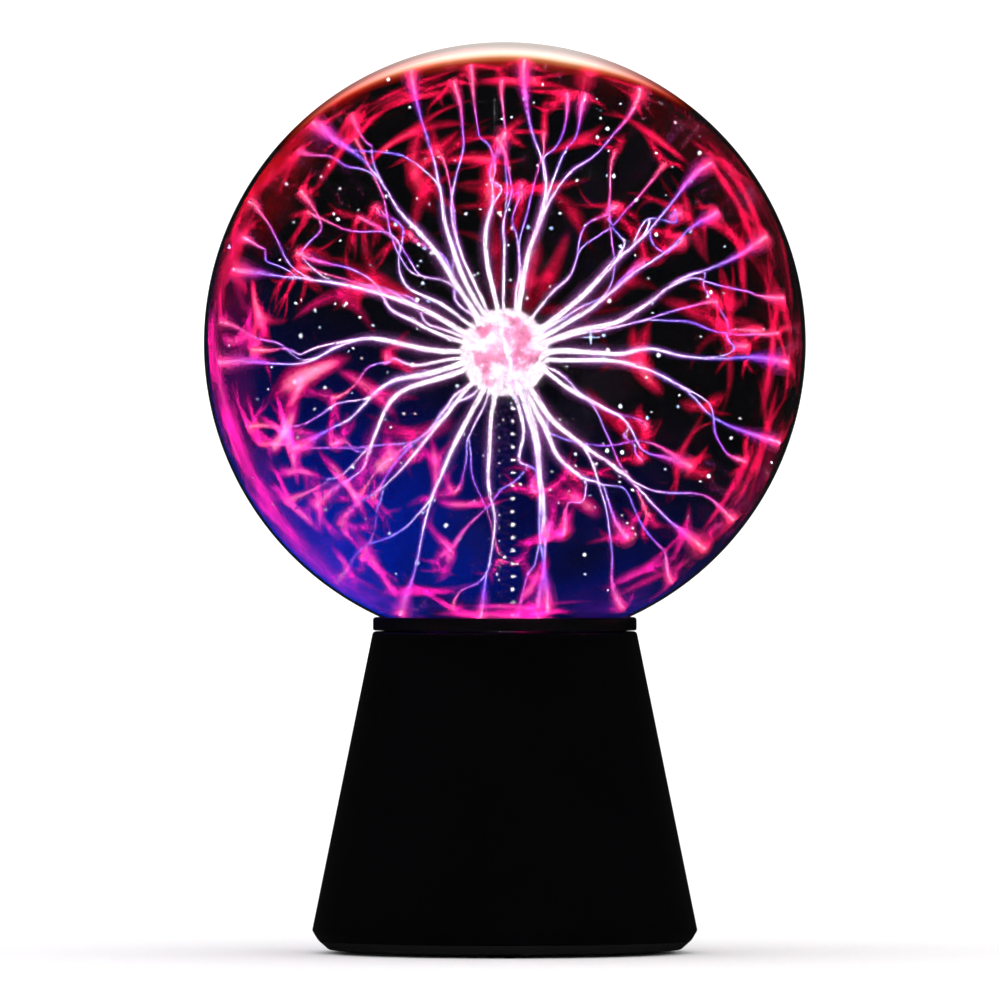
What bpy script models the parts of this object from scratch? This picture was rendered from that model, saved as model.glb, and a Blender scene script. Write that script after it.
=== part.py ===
"""Plasma ball: a sealed glass globe with a central electrode, on a truncated-cone base that holds the drive circuit.

Lengths are millimetres, and to_object() turns them into Blender's metres. +Z is up, the front faces -Y and the
controls face +Y. The origin is on the table, under the centre of the four feet.
"""

import math

import bmesh
import bpy
from mathutils import Matrix, Vector

MM = 0.001
GAP = 0.3  # left between pieces that touch

# Overall
TOTAL_HEIGHT = 302.3
SEGMENTS = 36  # round pieces of the globe
BASE_SEGMENTS = 52  # round pieces of the base

# Globe and its neck
GLOBE_R = 100.0
GLOBE_WALL = 2.0
GLOBE_Z = TOTAL_HEIGHT - GLOBE_R
NECK_R = 24.0
NECK_FILLET = 6.0
NECK_BOTTOM = 78.0

# Inner stem, which ends in the electrode bulb
BULB_R = 14.7
BULB_Z = GLOBE_Z - 3.2
STEM_R = 11.0
STEM_WALL = 1.2
FLARE_R = 14.0
FLARE_Z = 92.0
CORE_R = BULB_R - STEM_WALL - 0.5

# Base shell, a truncated cone whose foot turns back in
FOOT_PROUD = 1.0
SEAM_Z = 4.0
WIDEST_Z = 7.3
WIDEST_R = 64.0
SHELL_TOP_Z = 106.6
SHELL_TOP_R = 43.8
SHELL_WALL = 2.5
SEAM_R = 62.0
COVER_R = 58.9
RIM_R = 59.8  # inner face of the thick rim at the shell's foot
MOUTH_R = 31.0  # hole in the shell's top, for the globe's underside
FLANGE = 3.0
SEAT_TOP_Z = 111.3
SEAT_INNER_R = 33.0

# Fasteners' circles
BOSS_CIRCLE_R = 51.0
FOOT_CIRCLE_R = 46.0
CLAMP_CIRCLE_R = 34.5

# Control panel, a tray let into the back of the shell
PANEL_HALF = 27.0
PANEL_LOW, PANEL_HIGH = 11.0, 37.0
PANEL_FACE_Y = 50.0
PANEL_PLATE = 2.0
PANEL_RIM = 2.0
CONTROL_Z = 24.0
JACK_X, KNOB_X = -16.0, 17.0
SWITCH_TRAVEL = 6.0
SWITCH_REST_X = SWITCH_TRAVEL / 2  # the ON end of the slot
MIC_Z = 31.7

# Circuit board
BOARD_TOP = 15.6
BOARD_THICK = 1.6
BOARD_SIZE = (72.0, 52.0)
BOARD_Y = -3.0
STANDOFFS = [(31.0, -25.0), (-31.0, -25.0), (31.0, 19.0), (-31.0, 19.0)]
PART_Z = BOARD_TOP + GAP  # underside of what stands on the board
LEAD_PAD_Y = 20.0  # row of pads that the leads run to

# Transformer on the board
CORE_X, CORE_Y = -8.0, -8.0
CORE_HALF, CORE_LEG, CORE_HALF_DEPTH, CORE_HEIGHT = 17.0, 8.0, 6.0, 32.0
YOKE = 7.0
HV_COIL_R = 12.7


# ---------------------------------------------------------------- helpers


def material(name, colour, roughness, metallic=0.0, alpha=1.0, emission=0.0):
    made = bpy.data.materials.new(name)
    made.use_nodes = True
    shader = made.node_tree.nodes["Principled BSDF"]
    shader.inputs["Base Color"].default_value = (*colour, 1.0)
    shader.inputs["Roughness"].default_value = roughness
    shader.inputs["Metallic"].default_value = metallic
    shader.inputs["Alpha"].default_value = alpha
    shader.inputs["Emission Color"].default_value = (*colour, 1.0)
    shader.inputs["Emission Strength"].default_value = emission
    return made


def to_object(name, mesh_edit, finish=None, smooth_angle=35.0):
    """Links the bmesh as an object, scaled to metres, shaded smooth where its faces meet softly."""
    bmesh.ops.recalc_face_normals(mesh_edit, faces=mesh_edit.faces)
    bmesh.ops.scale(mesh_edit, vec=(MM, MM, MM), verts=mesh_edit.verts)
    mesh = bpy.data.meshes.new(name)
    mesh_edit.to_mesh(mesh)
    mesh_edit.free()
    mesh.shade_smooth()
    mesh.set_sharp_from_angle(angle=math.radians(smooth_angle))
    made = bpy.data.objects.new(name, mesh)
    bpy.context.scene.collection.objects.link(made)
    if finish is not None:
        made.data.materials.append(finish)
    return made


def arc(centre, radius, start, end, steps):
    """Points (r, z) on an arc, from the start angle to the end angle in degrees, both included."""
    angles = [math.radians(start + (end - start) * i / steps) for i in range(steps + 1)]
    return [(centre[0] + radius * math.cos(a), centre[1] + radius * math.sin(a)) for a in angles]


def lathe(name, profile, finish=None, steps=SEGMENTS, closed=True, axis="Z", at=(0.0, 0.0, 0.0)):
    """Spins a profile of (r, distance along the axis) points. A closed profile stays off the axis."""
    edit = bmesh.new()
    points = [edit.verts.new((r, 0.0, z)) for r, z in profile]
    ends = zip(points, points[1:] + points[:1]) if closed else zip(points, points[1:])
    edges = [edit.edges.new(pair) for pair in ends]
    bmesh.ops.spin(
        edit, geom=points + edges, cent=(0, 0, 0), axis=(0, 0, 1), angle=math.tau, steps=steps,
        use_merge=True, use_duplicate=False,
    )
    bmesh.ops.remove_doubles(edit, verts=edit.verts, dist=0.001)
    bmesh.ops.dissolve_degenerate(edit, dist=0.0005, edges=edit.edges)
    turn = {
        "Z": Matrix(),
        "Y": Matrix.Rotation(math.radians(-90), 4, "X"),
        "X": Matrix.Rotation(math.radians(90), 4, "Y"),
    }[axis]
    edit.transform(Matrix.Translation(at) @ turn)
    return to_object(name, edit, finish)


def cylinder(name, radius, low, high, finish=None, steps=24, axis="Z", at=(0.0, 0.0, 0.0), soft=0.0):
    """A cylinder along the axis, with its ends' edges softened by a chamfer."""
    if soft:
        profile = [(0, low), (radius - soft, low), (radius, low + soft)]
        profile += [(radius, high - soft), (radius - soft, high), (0, high)]
    else:
        profile = [(0, low), (radius, low), (radius, high), (0, high)]
    return lathe(name, profile, finish, steps, closed=False, axis=axis, at=at)


def box(name, low, high, finish=None, bevel=0.0):
    edit = bmesh.new()
    bmesh.ops.create_cube(edit, size=1.0)
    size = Vector(high) - Vector(low)
    middle = (Vector(high) + Vector(low)) / 2
    edit.transform(Matrix.Translation(middle) @ Matrix.Diagonal((*size, 1.0)))
    if bevel:
        bmesh.ops.bevel(edit, geom=edit.edges, offset=bevel, segments=2, affect="EDGES", profile=0.5)
    return to_object(name, edit, finish, smooth_angle=40.0)


def prism(name, outline, low, high, finish=None):
    """A flat outline of (x, y) points, extruded along Z from low to high."""
    edit = bmesh.new()
    face = edit.faces.new([edit.verts.new((x, y, low)) for x, y in outline])
    grown = bmesh.ops.extrude_face_region(edit, geom=[face])["geom"]
    moved = [v for v in grown if isinstance(v, bmesh.types.BMVert)]
    bmesh.ops.translate(edit, vec=(0, 0, high - low), verts=moved)
    return to_object(name, edit, finish)


def boolean(target, other, operation):
    """Joins, cuts or crops the target with the other object, and removes the other."""
    step = target.modifiers.new(operation.lower(), "BOOLEAN")
    step.operation = operation
    step.object = other
    step.solver = "EXACT"
    bpy.context.view_layer.update()
    graph = bpy.context.evaluated_depsgraph_get()
    mesh = bpy.data.meshes.new_from_object(target.evaluated_get(graph))
    target.modifiers.clear()
    mesh.name = target.name
    target.data = mesh
    bpy.data.objects.remove(other)
    return target


def cut(target, *others):
    for other in others:
        boolean(target, other, "DIFFERENCE")
    return target


def join(target, *others):
    for other in others:
        boolean(target, other, "UNION")
    return target


def set_origin(made, place):
    """Puts the object's origin at a place in the world, and leaves its mesh where it is."""
    made.data.transform(Matrix.Translation(-Vector(place) * MM))
    made.location = Vector(place) * MM


def lead(name, points, radius, finish):
    """A wire along a smooth curve through the points, ending square at both."""
    fine = []
    for i in range(len(points) - 1):
        before, start, end, after = (Vector(points[max(0, min(len(points) - 1, k))]) for k in range(i - 1, i + 3))
        for step in range(3):
            t = step / 3
            fine.append(0.5 * (
                2 * start + (end - before) * t + (2 * before - 5 * start + 4 * end - after) * t ** 2
                + (3 * start - before - 3 * end + after) * t ** 3
            ))
    fine.append(Vector(points[-1]))
    curve = bpy.data.curves.new(name, "CURVE")
    curve.dimensions = "3D"
    curve.bevel_depth = radius * MM
    curve.bevel_resolution = 1
    curve.use_fill_caps = True
    spline = curve.splines.new("POLY")
    spline.points.add(len(fine) - 1)
    for point, place in zip(spline.points, fine):
        point.co = (*(place * MM), 1.0)
    made = bpy.data.objects.new(name, curve)
    made.data.materials.append(finish)
    bpy.context.scene.collection.objects.link(made)
    return made


def screw(name, at, axis, head_r, head_high, shank_r, shank_long, finish):
    """A cross-head screw. It is at its head's underside, and its shank runs along the axis from there."""
    profile = [(0, -head_high), (head_r * 0.8, -head_high), (head_r, -head_high * 0.6), (head_r, 0)]
    profile += [(shank_r, 0), (shank_r, shank_long - shank_r), (0, shank_long)]
    made = lathe(name, profile, finish, steps=12, closed=False)
    half, wide = head_r * 0.55, head_r * 0.13
    depth = head_high * 0.55
    cut(
        made,
        box("cross_a", (-half, -wide, -head_high - 1), (half, wide, depth - head_high)),
        box("cross_b", (-wide, -half, -head_high - 1), (wide, half, depth - head_high)),
    )
    made.location = Vector(at) * MM
    made.rotation_mode = "QUATERNION"
    made.rotation_quaternion = Vector((0, 0, 1)).rotation_difference(Vector(axis))
    return made


def shell_radius(z):
    """Outer radius of the shell's cone at a height."""
    slope = (WIDEST_R - SHELL_TOP_R) / (SHELL_TOP_Z - WIDEST_Z)
    return WIDEST_R - (z - WIDEST_Z) * slope


def round_the(circle_r, count, first_degrees):
    """Places (x, y) spaced evenly round a circle."""
    angles = [math.radians(first_degrees + 360 * i / count) for i in range(count)]
    return [(circle_r * math.cos(a), circle_r * math.sin(a)) for a in angles]


# ---------------------------------------------------------------- glass


def globe_glass(finish):
    fillet_r = NECK_R + NECK_FILLET
    fillet_z = GLOBE_Z - math.sqrt((GLOBE_R + NECK_FILLET) ** 2 - fillet_r ** 2)
    leave = math.degrees(math.atan2(fillet_z - GLOBE_Z, fillet_r))  # where the sphere turns into the fillet
    back = leave + 180
    inner_fillet = NECK_FILLET + GLOBE_WALL
    outside = arc((0, GLOBE_Z), GLOBE_R, 90, leave, 14) + arc((fillet_r, fillet_z), NECK_FILLET, back, 180, 2)[1:]
    inside = arc((fillet_r, fillet_z), inner_fillet, 180, back, 2)
    inside += arc((0, GLOBE_Z), GLOBE_R - GLOBE_WALL, leave, 90, 10)[1:]
    end = [(NECK_R, NECK_BOTTOM), (NECK_R - GLOBE_WALL, NECK_BOTTOM)]
    return lathe("globe_glass", outside + end + inside, finish, closed=False)


def stem_glass(finish):
    joint = math.degrees(math.asin(STEM_R / BULB_R))
    inner_bulb, inner_stem = BULB_R - STEM_WALL, STEM_R - STEM_WALL
    inner_joint = math.degrees(math.asin(inner_stem / inner_bulb))
    flare_x = STEM_R + FLARE_R
    rim_out, rim_in = NECK_R - GLOBE_WALL - 0.4, NECK_R - GLOBE_WALL - 1.4
    low = NECK_BOTTOM - GAP
    outside = arc((0, BULB_Z), BULB_R, 90, joint - 90, 8) + arc((flare_x, FLARE_Z), FLARE_R, 180, 245, 4)
    rim = [(rim_out, low), (NECK_R, low), (NECK_R, low - 1.3), (rim_in, low - 1.3)]
    inside = arc((flare_x, FLARE_Z), FLARE_R + STEM_WALL, 245, 180, 4)
    inside += arc((0, BULB_Z), inner_bulb, inner_joint - 90, 90, 7)
    return lathe("stem_glass", outside + rim + inside, finish, steps=20, closed=False)


def exhaust_tip(finish):
    """The glass nipple left where the pumping tube was melted shut, under the neck."""
    top = NECK_BOTTOM - GAP - 1.3 - GAP
    profile = [(0, top), (1.6, top), (1.6, top - 8), (1.0, top - 11.5), (0, top - 13)]
    return lathe("exhaust_tip", profile, finish, steps=16, closed=False, at=(1.8 - NECK_R, 0, 0))


# ---------------------------------------------------------------- high-voltage feed


def high_voltage_feed(finishes):
    lathe("electrode_core", arc((0, BULB_Z), CORE_R, 90, -90, 8), finishes["wool"], steps=20, closed=False)
    plug_low, plug_high = 84.0, 96.0
    plug = cylinder("stem_plug", STEM_R - STEM_WALL - GAP, plug_low, plug_high, finishes["silicone"], soft=0.6)
    cut(plug, cylinder("pin_hole", 1.8, plug_low - 1, plug_high + 1, steps=16))
    pin = [(0, 80.0), (1.5, 80.0), (1.5, plug_high + GAP), (4.0, plug_high + GAP), (4.0, 98.3), (0, 98.3)]
    lathe("contact_pin", pin, finishes["brass"], steps=16, closed=False)
    hv_spring(99.0, BULB_Z - CORE_R - GAP, finishes["steel"])
    lead(
        "hv_lead",
        [(13.8, -8, 41.0), (13.8, -8, 47), (12.5, -7, 55), (7, -4, 63), (1.5, -1, 70), (0, 0, 75), (0, 0, 79.6)],
        1.5, finishes["red_silicone"],
    )


def hv_spring(low, high, finish):
    """The long spring that carries the high voltage up the stem to the electrode."""
    coil_r, wire_r, pitch, per_turn, sides = 2.6, 0.45, 4.3, 8, 4
    low, high = low + wire_r, high - wire_r
    count = int((high - low) / pitch * per_turn)
    edit = bmesh.new()
    rings = []
    for i in range(count + 1):
        turn = math.tau * i / per_turn
        outward = Vector((math.cos(turn), math.sin(turn), 0))
        middle = outward * coil_r + Vector((0, 0, low + (high - low) * i / count))
        corners = []
        for k in range(sides):
            angle = math.tau * k / sides
            corners.append(edit.verts.new(middle + (outward * math.cos(angle) + Vector((0, 0, math.sin(angle)))) * wire_r))
        rings.append(corners)
    for near, far in zip(rings, rings[1:]):
        for k in range(sides):
            edit.faces.new((near[k], near[(k + 1) % sides], far[(k + 1) % sides], far[k]))
    edit.faces.new(rings[0])
    edit.faces.new(rings[-1])
    return to_object("hv_spring", edit, finish, smooth_angle=70.0)


# ---------------------------------------------------------------- base


def base_shell(finish):
    flange_z = SHELL_TOP_Z - FLANGE
    profile = [
        (SEAM_R + 0.2, SEAM_Z + GAP), (WIDEST_R, WIDEST_Z), (shell_radius(SHELL_TOP_Z - 0.6), SHELL_TOP_Z - 0.6),
        (SHELL_TOP_R - 0.6, SHELL_TOP_Z), (MOUTH_R, SHELL_TOP_Z), (MOUTH_R, flange_z),
        (shell_radius(flange_z) - SHELL_WALL, flange_z), (shell_radius(10) - SHELL_WALL, 10),
        (RIM_R, 10), (RIM_R, SEAM_Z + GAP),
    ]
    shell = lathe("base_shell", profile, finish, steps=BASE_SEGMENTS)
    boss_low, pilot_r = SEAM_Z + GAP, 1.8
    for i, (x, y) in enumerate(round_the(BOSS_CIRCLE_R, 4, 45)):
        post = cylinder("post", 4.2, boss_low, 46, at=(x, y, 0), steps=16)
        rib = rib_to_wall(math.radians(45 + 90 * i))
        join(shell, post, rib)
        cut(shell, cylinder("pilot", pilot_r, boss_low - 1, 20, at=(x, y, 0), steps=12))
    for x, y in round_the(CLAMP_CIRCLE_R, 3, 90):
        join(shell, cylinder("hanging_boss", 3.4, 89 + GAP, flange_z + 1, at=(x, y, 0), steps=16))
        cut(shell, cylinder("pilot", 1.4, 88, 99, at=(x, y, 0), steps=12))
    slots = [
        box("vent", (x - 1.2, 30, 50), (x + 1.2, 70, 82))
        for x in range(-18, 19, 6)
    ]
    opening = box(
        "panel_opening", (-PANEL_HALF - GAP, 35, PANEL_LOW - GAP), (PANEL_HALF + GAP, 75, PANEL_HIGH + GAP)
    )
    return cut(shell, opening, *slots)


def rib_to_wall(angle):
    """A thin rib between a corner post and the cone's wall."""
    edge = [(BOSS_CIRCLE_R, 12), (shell_radius(12) - 1, 12), (shell_radius(45) - 1, 45), (BOSS_CIRCLE_R, 45)]
    edit = bmesh.new()
    face = edit.faces.new([edit.verts.new((r, -1.0, z)) for r, z in edge])
    grown = bmesh.ops.extrude_face_region(edit, geom=[face])["geom"]
    bmesh.ops.translate(edit, vec=(0, 2.0, 0), verts=[v for v in grown if isinstance(v, bmesh.types.BMVert)])
    edit.transform(Matrix.Rotation(angle, 4, "Z"))
    return to_object("rib", edit)


def seat_ring(finish):
    """The soft ring that the globe's underside rests in."""
    seat_r = GLOBE_R + 0.35
    low = SHELL_TOP_Z + GAP
    lip_r = 41.8
    angles = [math.degrees(-math.acos(r / seat_r)) for r in (lip_r, SEAT_INNER_R)]
    seat = arc((0, GLOBE_Z), seat_r, angles[0], angles[1], 2)
    profile = [(SEAT_INNER_R, low), (SHELL_TOP_R, low), (SHELL_TOP_R, SEAT_TOP_Z - 0.9)]
    profile += [(SHELL_TOP_R - 0.3, SEAT_TOP_Z - 0.25), (SHELL_TOP_R - 1.0, SEAT_TOP_Z)]
    return lathe("seat_ring", profile + seat, finish)


def bottom_cover(finish):
    lip_out, lip_in, lip_top = RIM_R - 0.4, RIM_R - 3.0, 8.0
    profile = [
        (0, FOOT_PROUD), (COVER_R, FOOT_PROUD), (SEAM_R, SEAM_Z), (lip_out, SEAM_Z), (lip_out, lip_top),
        (lip_in, lip_top), (lip_in, SEAM_Z), (0, SEAM_Z),
    ]
    cover = lathe("bottom_cover", profile, finish, steps=BASE_SEGMENTS, closed=False)
    board_underside = BOARD_TOP - BOARD_THICK
    for x, y in STANDOFFS:
        join(cover, cylinder("standoff", 3.0, SEAM_Z - 1, board_underside - GAP, at=(x, y, 0), steps=12))
        cut(cover, cylinder("pilot", 1.3, SEAM_Z + 2, 20, at=(x, y, 0), steps=8))
    for x, y in round_the(BOSS_CIRCLE_R, 4, 45):
        cut(
            cover,
            cylinder("hole", 1.8, 0, 9, at=(x, y, 0), steps=12),
            cylinder("counterbore", 3.6, 0, FOOT_PROUD + 1.6, at=(x, y, 0), steps=12),
        )
    for x, y in round_the(FOOT_CIRCLE_R, 4, 0):
        cut(cover, cylinder("foot_recess", 6.3, 0, FOOT_PROUD + 1.0, at=(x, y, 0), steps=16))
    slots = [box("vent", (x - 1.2, -14, 0), (x + 1.2, 14, 6)) for x in range(-16, 17, 8)]
    return cut(cover, *slots)


def feet_and_cover_screws(finishes):
    for i, (x, y) in enumerate(round_the(FOOT_CIRCLE_R, 4, 0)):
        top = FOOT_PROUD + 1.0 - GAP
        profile = [(0, 0), (5.4, 0), (6.0, 0.6), (6.0, top), (0, top)]
        lathe(f"rubber_foot_{i + 1}", profile, finishes["rubber"], steps=16, closed=False, at=(x, y, 0))
    for i, (x, y) in enumerate(round_the(BOSS_CIRCLE_R, 4, 45)):
        at = (x, y, FOOT_PROUD + 1.6 - GAP)
        screw(f"cover_screw_{i + 1}", at, (0, 0, 1), 3.2, 1.2, 1.5, 14.0, finishes["screw"])


def neck_mounting(finishes):
    inner, outer = NECK_R + 0.35, NECK_R + 4.0
    sleeve = [(inner, 80.5), (outer, 80.5), (outer, 97.0), (inner, 97.0)]
    lathe("neck_sleeve", sleeve, finishes["foam"])
    low, high = 84.5, 89.0
    ring = [(outer + GAP, low), (40.5, low), (41.0, low + 0.5), (41.0, high), (outer + GAP, high)]
    clamp = lathe("neck_clamp", ring, finishes["black_matte"])
    for i, (x, y) in enumerate(round_the(CLAMP_CIRCLE_R, 3, 90)):
        cut(clamp, cylinder("hole", 1.6, low - 1, high + 1, at=(x, y, 0), steps=12))
        screw(f"clamp_screw_{i + 1}", (x, y, low - GAP), (0, 0, 1), 2.9, 1.8, 1.2, 12.0, finishes["screw"])


# ---------------------------------------------------------------- control panel


def control_panel(finish):
    plate_back = PANEL_FACE_Y - PANEL_PLATE
    panel = box("control_panel", (-PANEL_HALF, 44, PANEL_LOW), (PANEL_HALF, 75, PANEL_HIGH), finish)
    low, high = PANEL_LOW - 5, PANEL_HIGH + 5
    cone = [(0, low), (shell_radius(low) - GAP, low), (shell_radius(high) - GAP, high), (0, high)]
    boolean(panel, lathe("cone", cone, steps=BASE_SEGMENTS, closed=False), "INTERSECT")
    inner = PANEL_HALF - PANEL_RIM
    join(panel, box("flange", (-PANEL_HALF - 3, 44, PANEL_LOW - 2), (PANEL_HALF + 3, 46, PANEL_HIGH + 2)))
    cut(
        panel,
        box("outer_pocket", (-inner, PANEL_FACE_Y, PANEL_LOW + PANEL_RIM), (inner, 80, PANEL_HIGH - PANEL_RIM)),
        box("inner_pocket", (-inner, 40, PANEL_LOW + PANEL_RIM), (inner, plate_back, PANEL_HIGH - PANEL_RIM)),
        box("switch_slot", (-5.3, 40, CONTROL_Z - 2.3), (5.3, 60, CONTROL_Z + 2.3)),
        cylinder("jack_hole", 4.3, 40, 60, axis="Y", at=(JACK_X, 0, CONTROL_Z)),
        cylinder("knob_hole", 3.7, 40, 60, axis="Y", at=(KNOB_X, 0, CONTROL_Z)),
        cylinder("mic_hole", 0.9, 40, 60, axis="Y", at=(0, 0, MIC_Z), steps=12),
    )
    return panel


def power_inlet(finishes):
    """The barrel socket that the mains adapter plugs into, and its centre pin."""
    face = PANEL_FACE_Y + GAP
    socket = [
        (0, 36.0), (4.0, 36.0), (4.0, face), (4.9, face), (4.9, face + 1.0), (4.5, face + 1.3),
        (3.15, face + 1.3), (3.15, 41.0), (0, 41.0),
    ]
    at = (JACK_X, 0, CONTROL_Z)
    lathe("dc_jack", socket, finishes["black_matte"], steps=24, closed=False, axis="Y", at=at)
    pin = [(0, 41.3), (1.0, 41.3), (1.0, 49.2), (0.6, 49.8), (0, 49.8)]
    lathe("dc_jack_pin", pin, finishes["steel"], steps=16, closed=False, axis="Y", at=at)


def mode_switch(finishes):
    """A three-position slide switch. Its slider rests at the ON end and moves along X."""
    body = box("mode_switch_body", (-9, 38.5, 20.5), (9, 47.7, 27.5), finishes["steel"], bevel=0.4)
    cut(body, box("channel", (-5.3, 42.0, CONTROL_Z - 2.3), (5.3, 50, CONTROL_Z + 2.3)))
    x = SWITCH_REST_X
    slider = box("mode_switch_slider", (x - 2, 42.4, CONTROL_Z - 2), (x + 2, 53.2, CONTROL_Z + 2), finishes["knob"])
    for ridge in (-1.2, 0.0, 1.2):
        cut(slider, box("groove", (x + ridge - 0.25, 52.6, 15), (x + ridge + 0.25, 54, 35)))
    set_origin(slider, (x, PANEL_FACE_Y, CONTROL_Z))


def sensitivity_dial(finishes):
    """A potentiometer behind the panel, and the knob on its shaft, which turn about Y."""
    at = (KNOB_X, 0, CONTROL_Z)
    case = [
        (0, 38.0), (7.0, 38.0), (7.0, 47.7), (3.4, 47.7), (3.4, 52.6), (3.1, 52.6), (3.1, 41.0), (0, 41.0),
    ]
    lathe("sensitivity_pot", case, finishes["zinc"], steps=24, closed=False, axis="Y", at=at)
    nut = cylinder("pot_nut", 5.6, PANEL_FACE_Y + GAP, 52.4, finishes["steel"], steps=6, axis="Y", at=at)
    cut(nut, cylinder("thread", 3.7, 45, 60, axis="Y", at=at, steps=24))
    shaft = [(0, 41.4), (2.85, 41.4), (2.85, 58.2), (2.4, 58.7), (0, 58.7)]
    shaft = lathe("pot_shaft", shaft, finishes["brass"], steps=20, closed=False, axis="Y", at=at)
    knob = [
        (3.15, 52.9), (6.8, 52.9), (7.0, 53.2), (6.5, 60.3), (6.0, 60.8), (0, 60.8), (0, 59.0), (3.15, 59.0),
        (3.15, 52.9),
    ]
    knob = lathe("sensitivity_knob", knob, finishes["knob"], steps=30, closed=False, axis="Y", at=at)
    cut(knob, box("pointer", (KNOB_X - 0.4, 60.2, CONTROL_Z + 1.5), (KNOB_X + 0.4, 62, CONTROL_Z + 8)))
    for turning in (shaft, knob):
        set_origin(turning, (KNOB_X, PANEL_FACE_Y, CONTROL_Z))


def microphone(finish):
    lathe(
        "microphone", [(0, 43.0), (2.7, 43.0), (2.9, 43.3), (2.9, 47.7), (0, 47.7)], finish,
        steps=20, closed=False, axis="Y", at=(0, 0, MIC_Z),
    )


# ---------------------------------------------------------------- circuit


def circuit_board(finishes):
    half_x, half_y = BOARD_SIZE[0] / 2, BOARD_SIZE[1] / 2
    board = box(
        "circuit_board", (-half_x, BOARD_Y - half_y, BOARD_TOP - BOARD_THICK),
        (half_x, BOARD_Y + half_y, BOARD_TOP), finishes["board"],
    )
    for i, (x, y) in enumerate(STANDOFFS):
        cut(board, cylinder("hole", 1.6, 0, 30, at=(x, y, 0), steps=12))
        screw(f"board_screw_{i + 1}", (x, y, PART_Z), (0, 0, -1), 2.6, 1.6, 1.0, 7.5, finishes["screw"])


def transformer(finishes):
    """A ferrite window core with the primary on one leg and the potted high-voltage coil on the other."""
    low, high = PART_Z, PART_Z + CORE_HEIGHT
    left, right = CORE_X - CORE_HALF, CORE_X + CORE_HALF
    front, back = CORE_Y - CORE_HALF_DEPTH, CORE_Y + CORE_HALF_DEPTH
    core = box("transformer_core", (left, front, low), (right, back, high), finishes["ferrite"], bevel=0.6)
    cut(core, box("window", (left + CORE_LEG, -40, low + YOKE), (right - CORE_LEG, 40, high - YOKE)))
    coil_low, coil_high = low + YOKE + GAP, high - YOKE - GAP
    leg_x = left + CORE_LEG / 2
    bobbin = box("primary_coil", (leg_x - 8, CORE_Y - 10, coil_low), (leg_x + 8, CORE_Y + 10, coil_high), finishes["copper"])
    cut(bobbin, leg_hole(leg_x))
    leg_x = right - CORE_LEG / 2
    coil = cylinder("hv_coil", HV_COIL_R, coil_low, coil_high, finishes["epoxy"], steps=28, at=(leg_x, CORE_Y, 0), soft=0.8)
    cut(coil, leg_hole(leg_x))


def leg_hole(leg_x):
    """The cutter that lets a coil go round a leg of the core."""
    half_x, half_y = CORE_LEG / 2 + GAP, CORE_HALF_DEPTH + GAP
    return box("leg_hole", (leg_x - half_x, CORE_Y - half_y, 0), (leg_x + half_x, CORE_Y + half_y, 90))


def output_stage(finishes):
    """The power transistor on its finned heat sink."""
    outline = [(24.0, -20.0)]
    for y in range(-20, 9, 5):
        outline += [(33.5, y), (33.5, y + 1.2), (26.0, y + 1.2)]
        if y < 5:
            outline += [(26.0, y + 5)]
    outline += [(24.0, 6.2)]
    sink = prism("heat_sink", outline, PART_Z, 42.0, finishes["aluminium"])
    tab_y, tab_z = -6.5, 34.0
    cut(sink, cylinder("hole", 1.8, 20, 30, axis="X", at=(0, tab_y, tab_z), steps=16))
    body = box("power_transistor", (19.3, tab_y - 5, 22.0), (23.7, tab_y + 5, 31.0), finishes["black_matte"])
    join(body, box("tab", (22.4, tab_y - 5, 30.0), (23.7, tab_y + 5, 38.0)))
    for offset in (-2.5, 0.0, 2.5):
        join(body, box("leg", (21.0, tab_y + offset - 0.4, PART_Z), (21.6, tab_y + offset + 0.4, 23.0)))
    cut(body, cylinder("hole", 1.8, 15, 30, axis="X", at=(0, tab_y, tab_z), steps=16))
    screw("transistor_screw", (22.1, tab_y, tab_z), (1, 0, 0), 2.8, 1.7, 1.4, 7.0, finishes["screw"])


def small_parts(finishes):
    cylinder("filter_capacitor", 5.0, PART_Z, 30.0, finishes["sleeve"], at=(-21, 10.5, 0), soft=0.7)
    cylinder("timing_capacitor", 4.0, PART_Z, 27.0, finishes["sleeve"], at=(-8, 11, 0), steps=20, soft=0.6)
    box("film_capacitor", (4, 8, PART_Z), (16, 13.5, 25), finishes["film"], bevel=0.8)
    box("driver_chip", (19, 11.5, PART_Z), (28, 18, 19.6), finishes["black_matte"], bevel=0.3)


def panel_leads(finishes):
    """Short leads from the controls to the pads along the board's back edge."""
    back, wire = 36.0 - GAP, 0.8
    lead(
        "dc_lead_red",
        [(-17.6, back, 25.5), (-17.8, 32, 25.8), (-19.5, 26, 25), (-22, 21, 21), (-22, LEAD_PAD_Y, PART_Z)],
        wire, finishes["red_silicone"],
    )
    lead(
        "dc_lead_black",
        [(-14.4, back, 22.5), (-14.6, 32, 22.6), (-15.2, 26, 22.2), (-16, 21, 19.5), (-16, LEAD_PAD_Y, PART_Z)],
        wire, finishes["black_matte"],
    )
    lead(
        "switch_lead",
        [(0, 38.5 - GAP, 24), (0, 34, 24.2), (0.5, 27, 23.5), (1, 21, 20), (1, LEAD_PAD_Y, PART_Z)],
        1.0, finishes["silicone"],
    )
    lead(
        "pot_lead",
        [(KNOB_X, 38 - GAP, 24), (KNOB_X, 33, 24.2), (15, 27, 23.5), (13, 21, 20), (13, LEAD_PAD_Y, PART_Z)],
        1.0, finishes["silicone"],
    )
    lead(
        "mic_lead",
        [(0, 43 - GAP, MIC_Z), (-0.5, 40, 31.8), (-3, 33, 31), (-6.5, 24, 26), (-7, LEAD_PAD_Y, 20), (-7, LEAD_PAD_Y, PART_Z)],
        wire, finishes["silicone"],
    )


# ---------------------------------------------------------------- the whole


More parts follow.
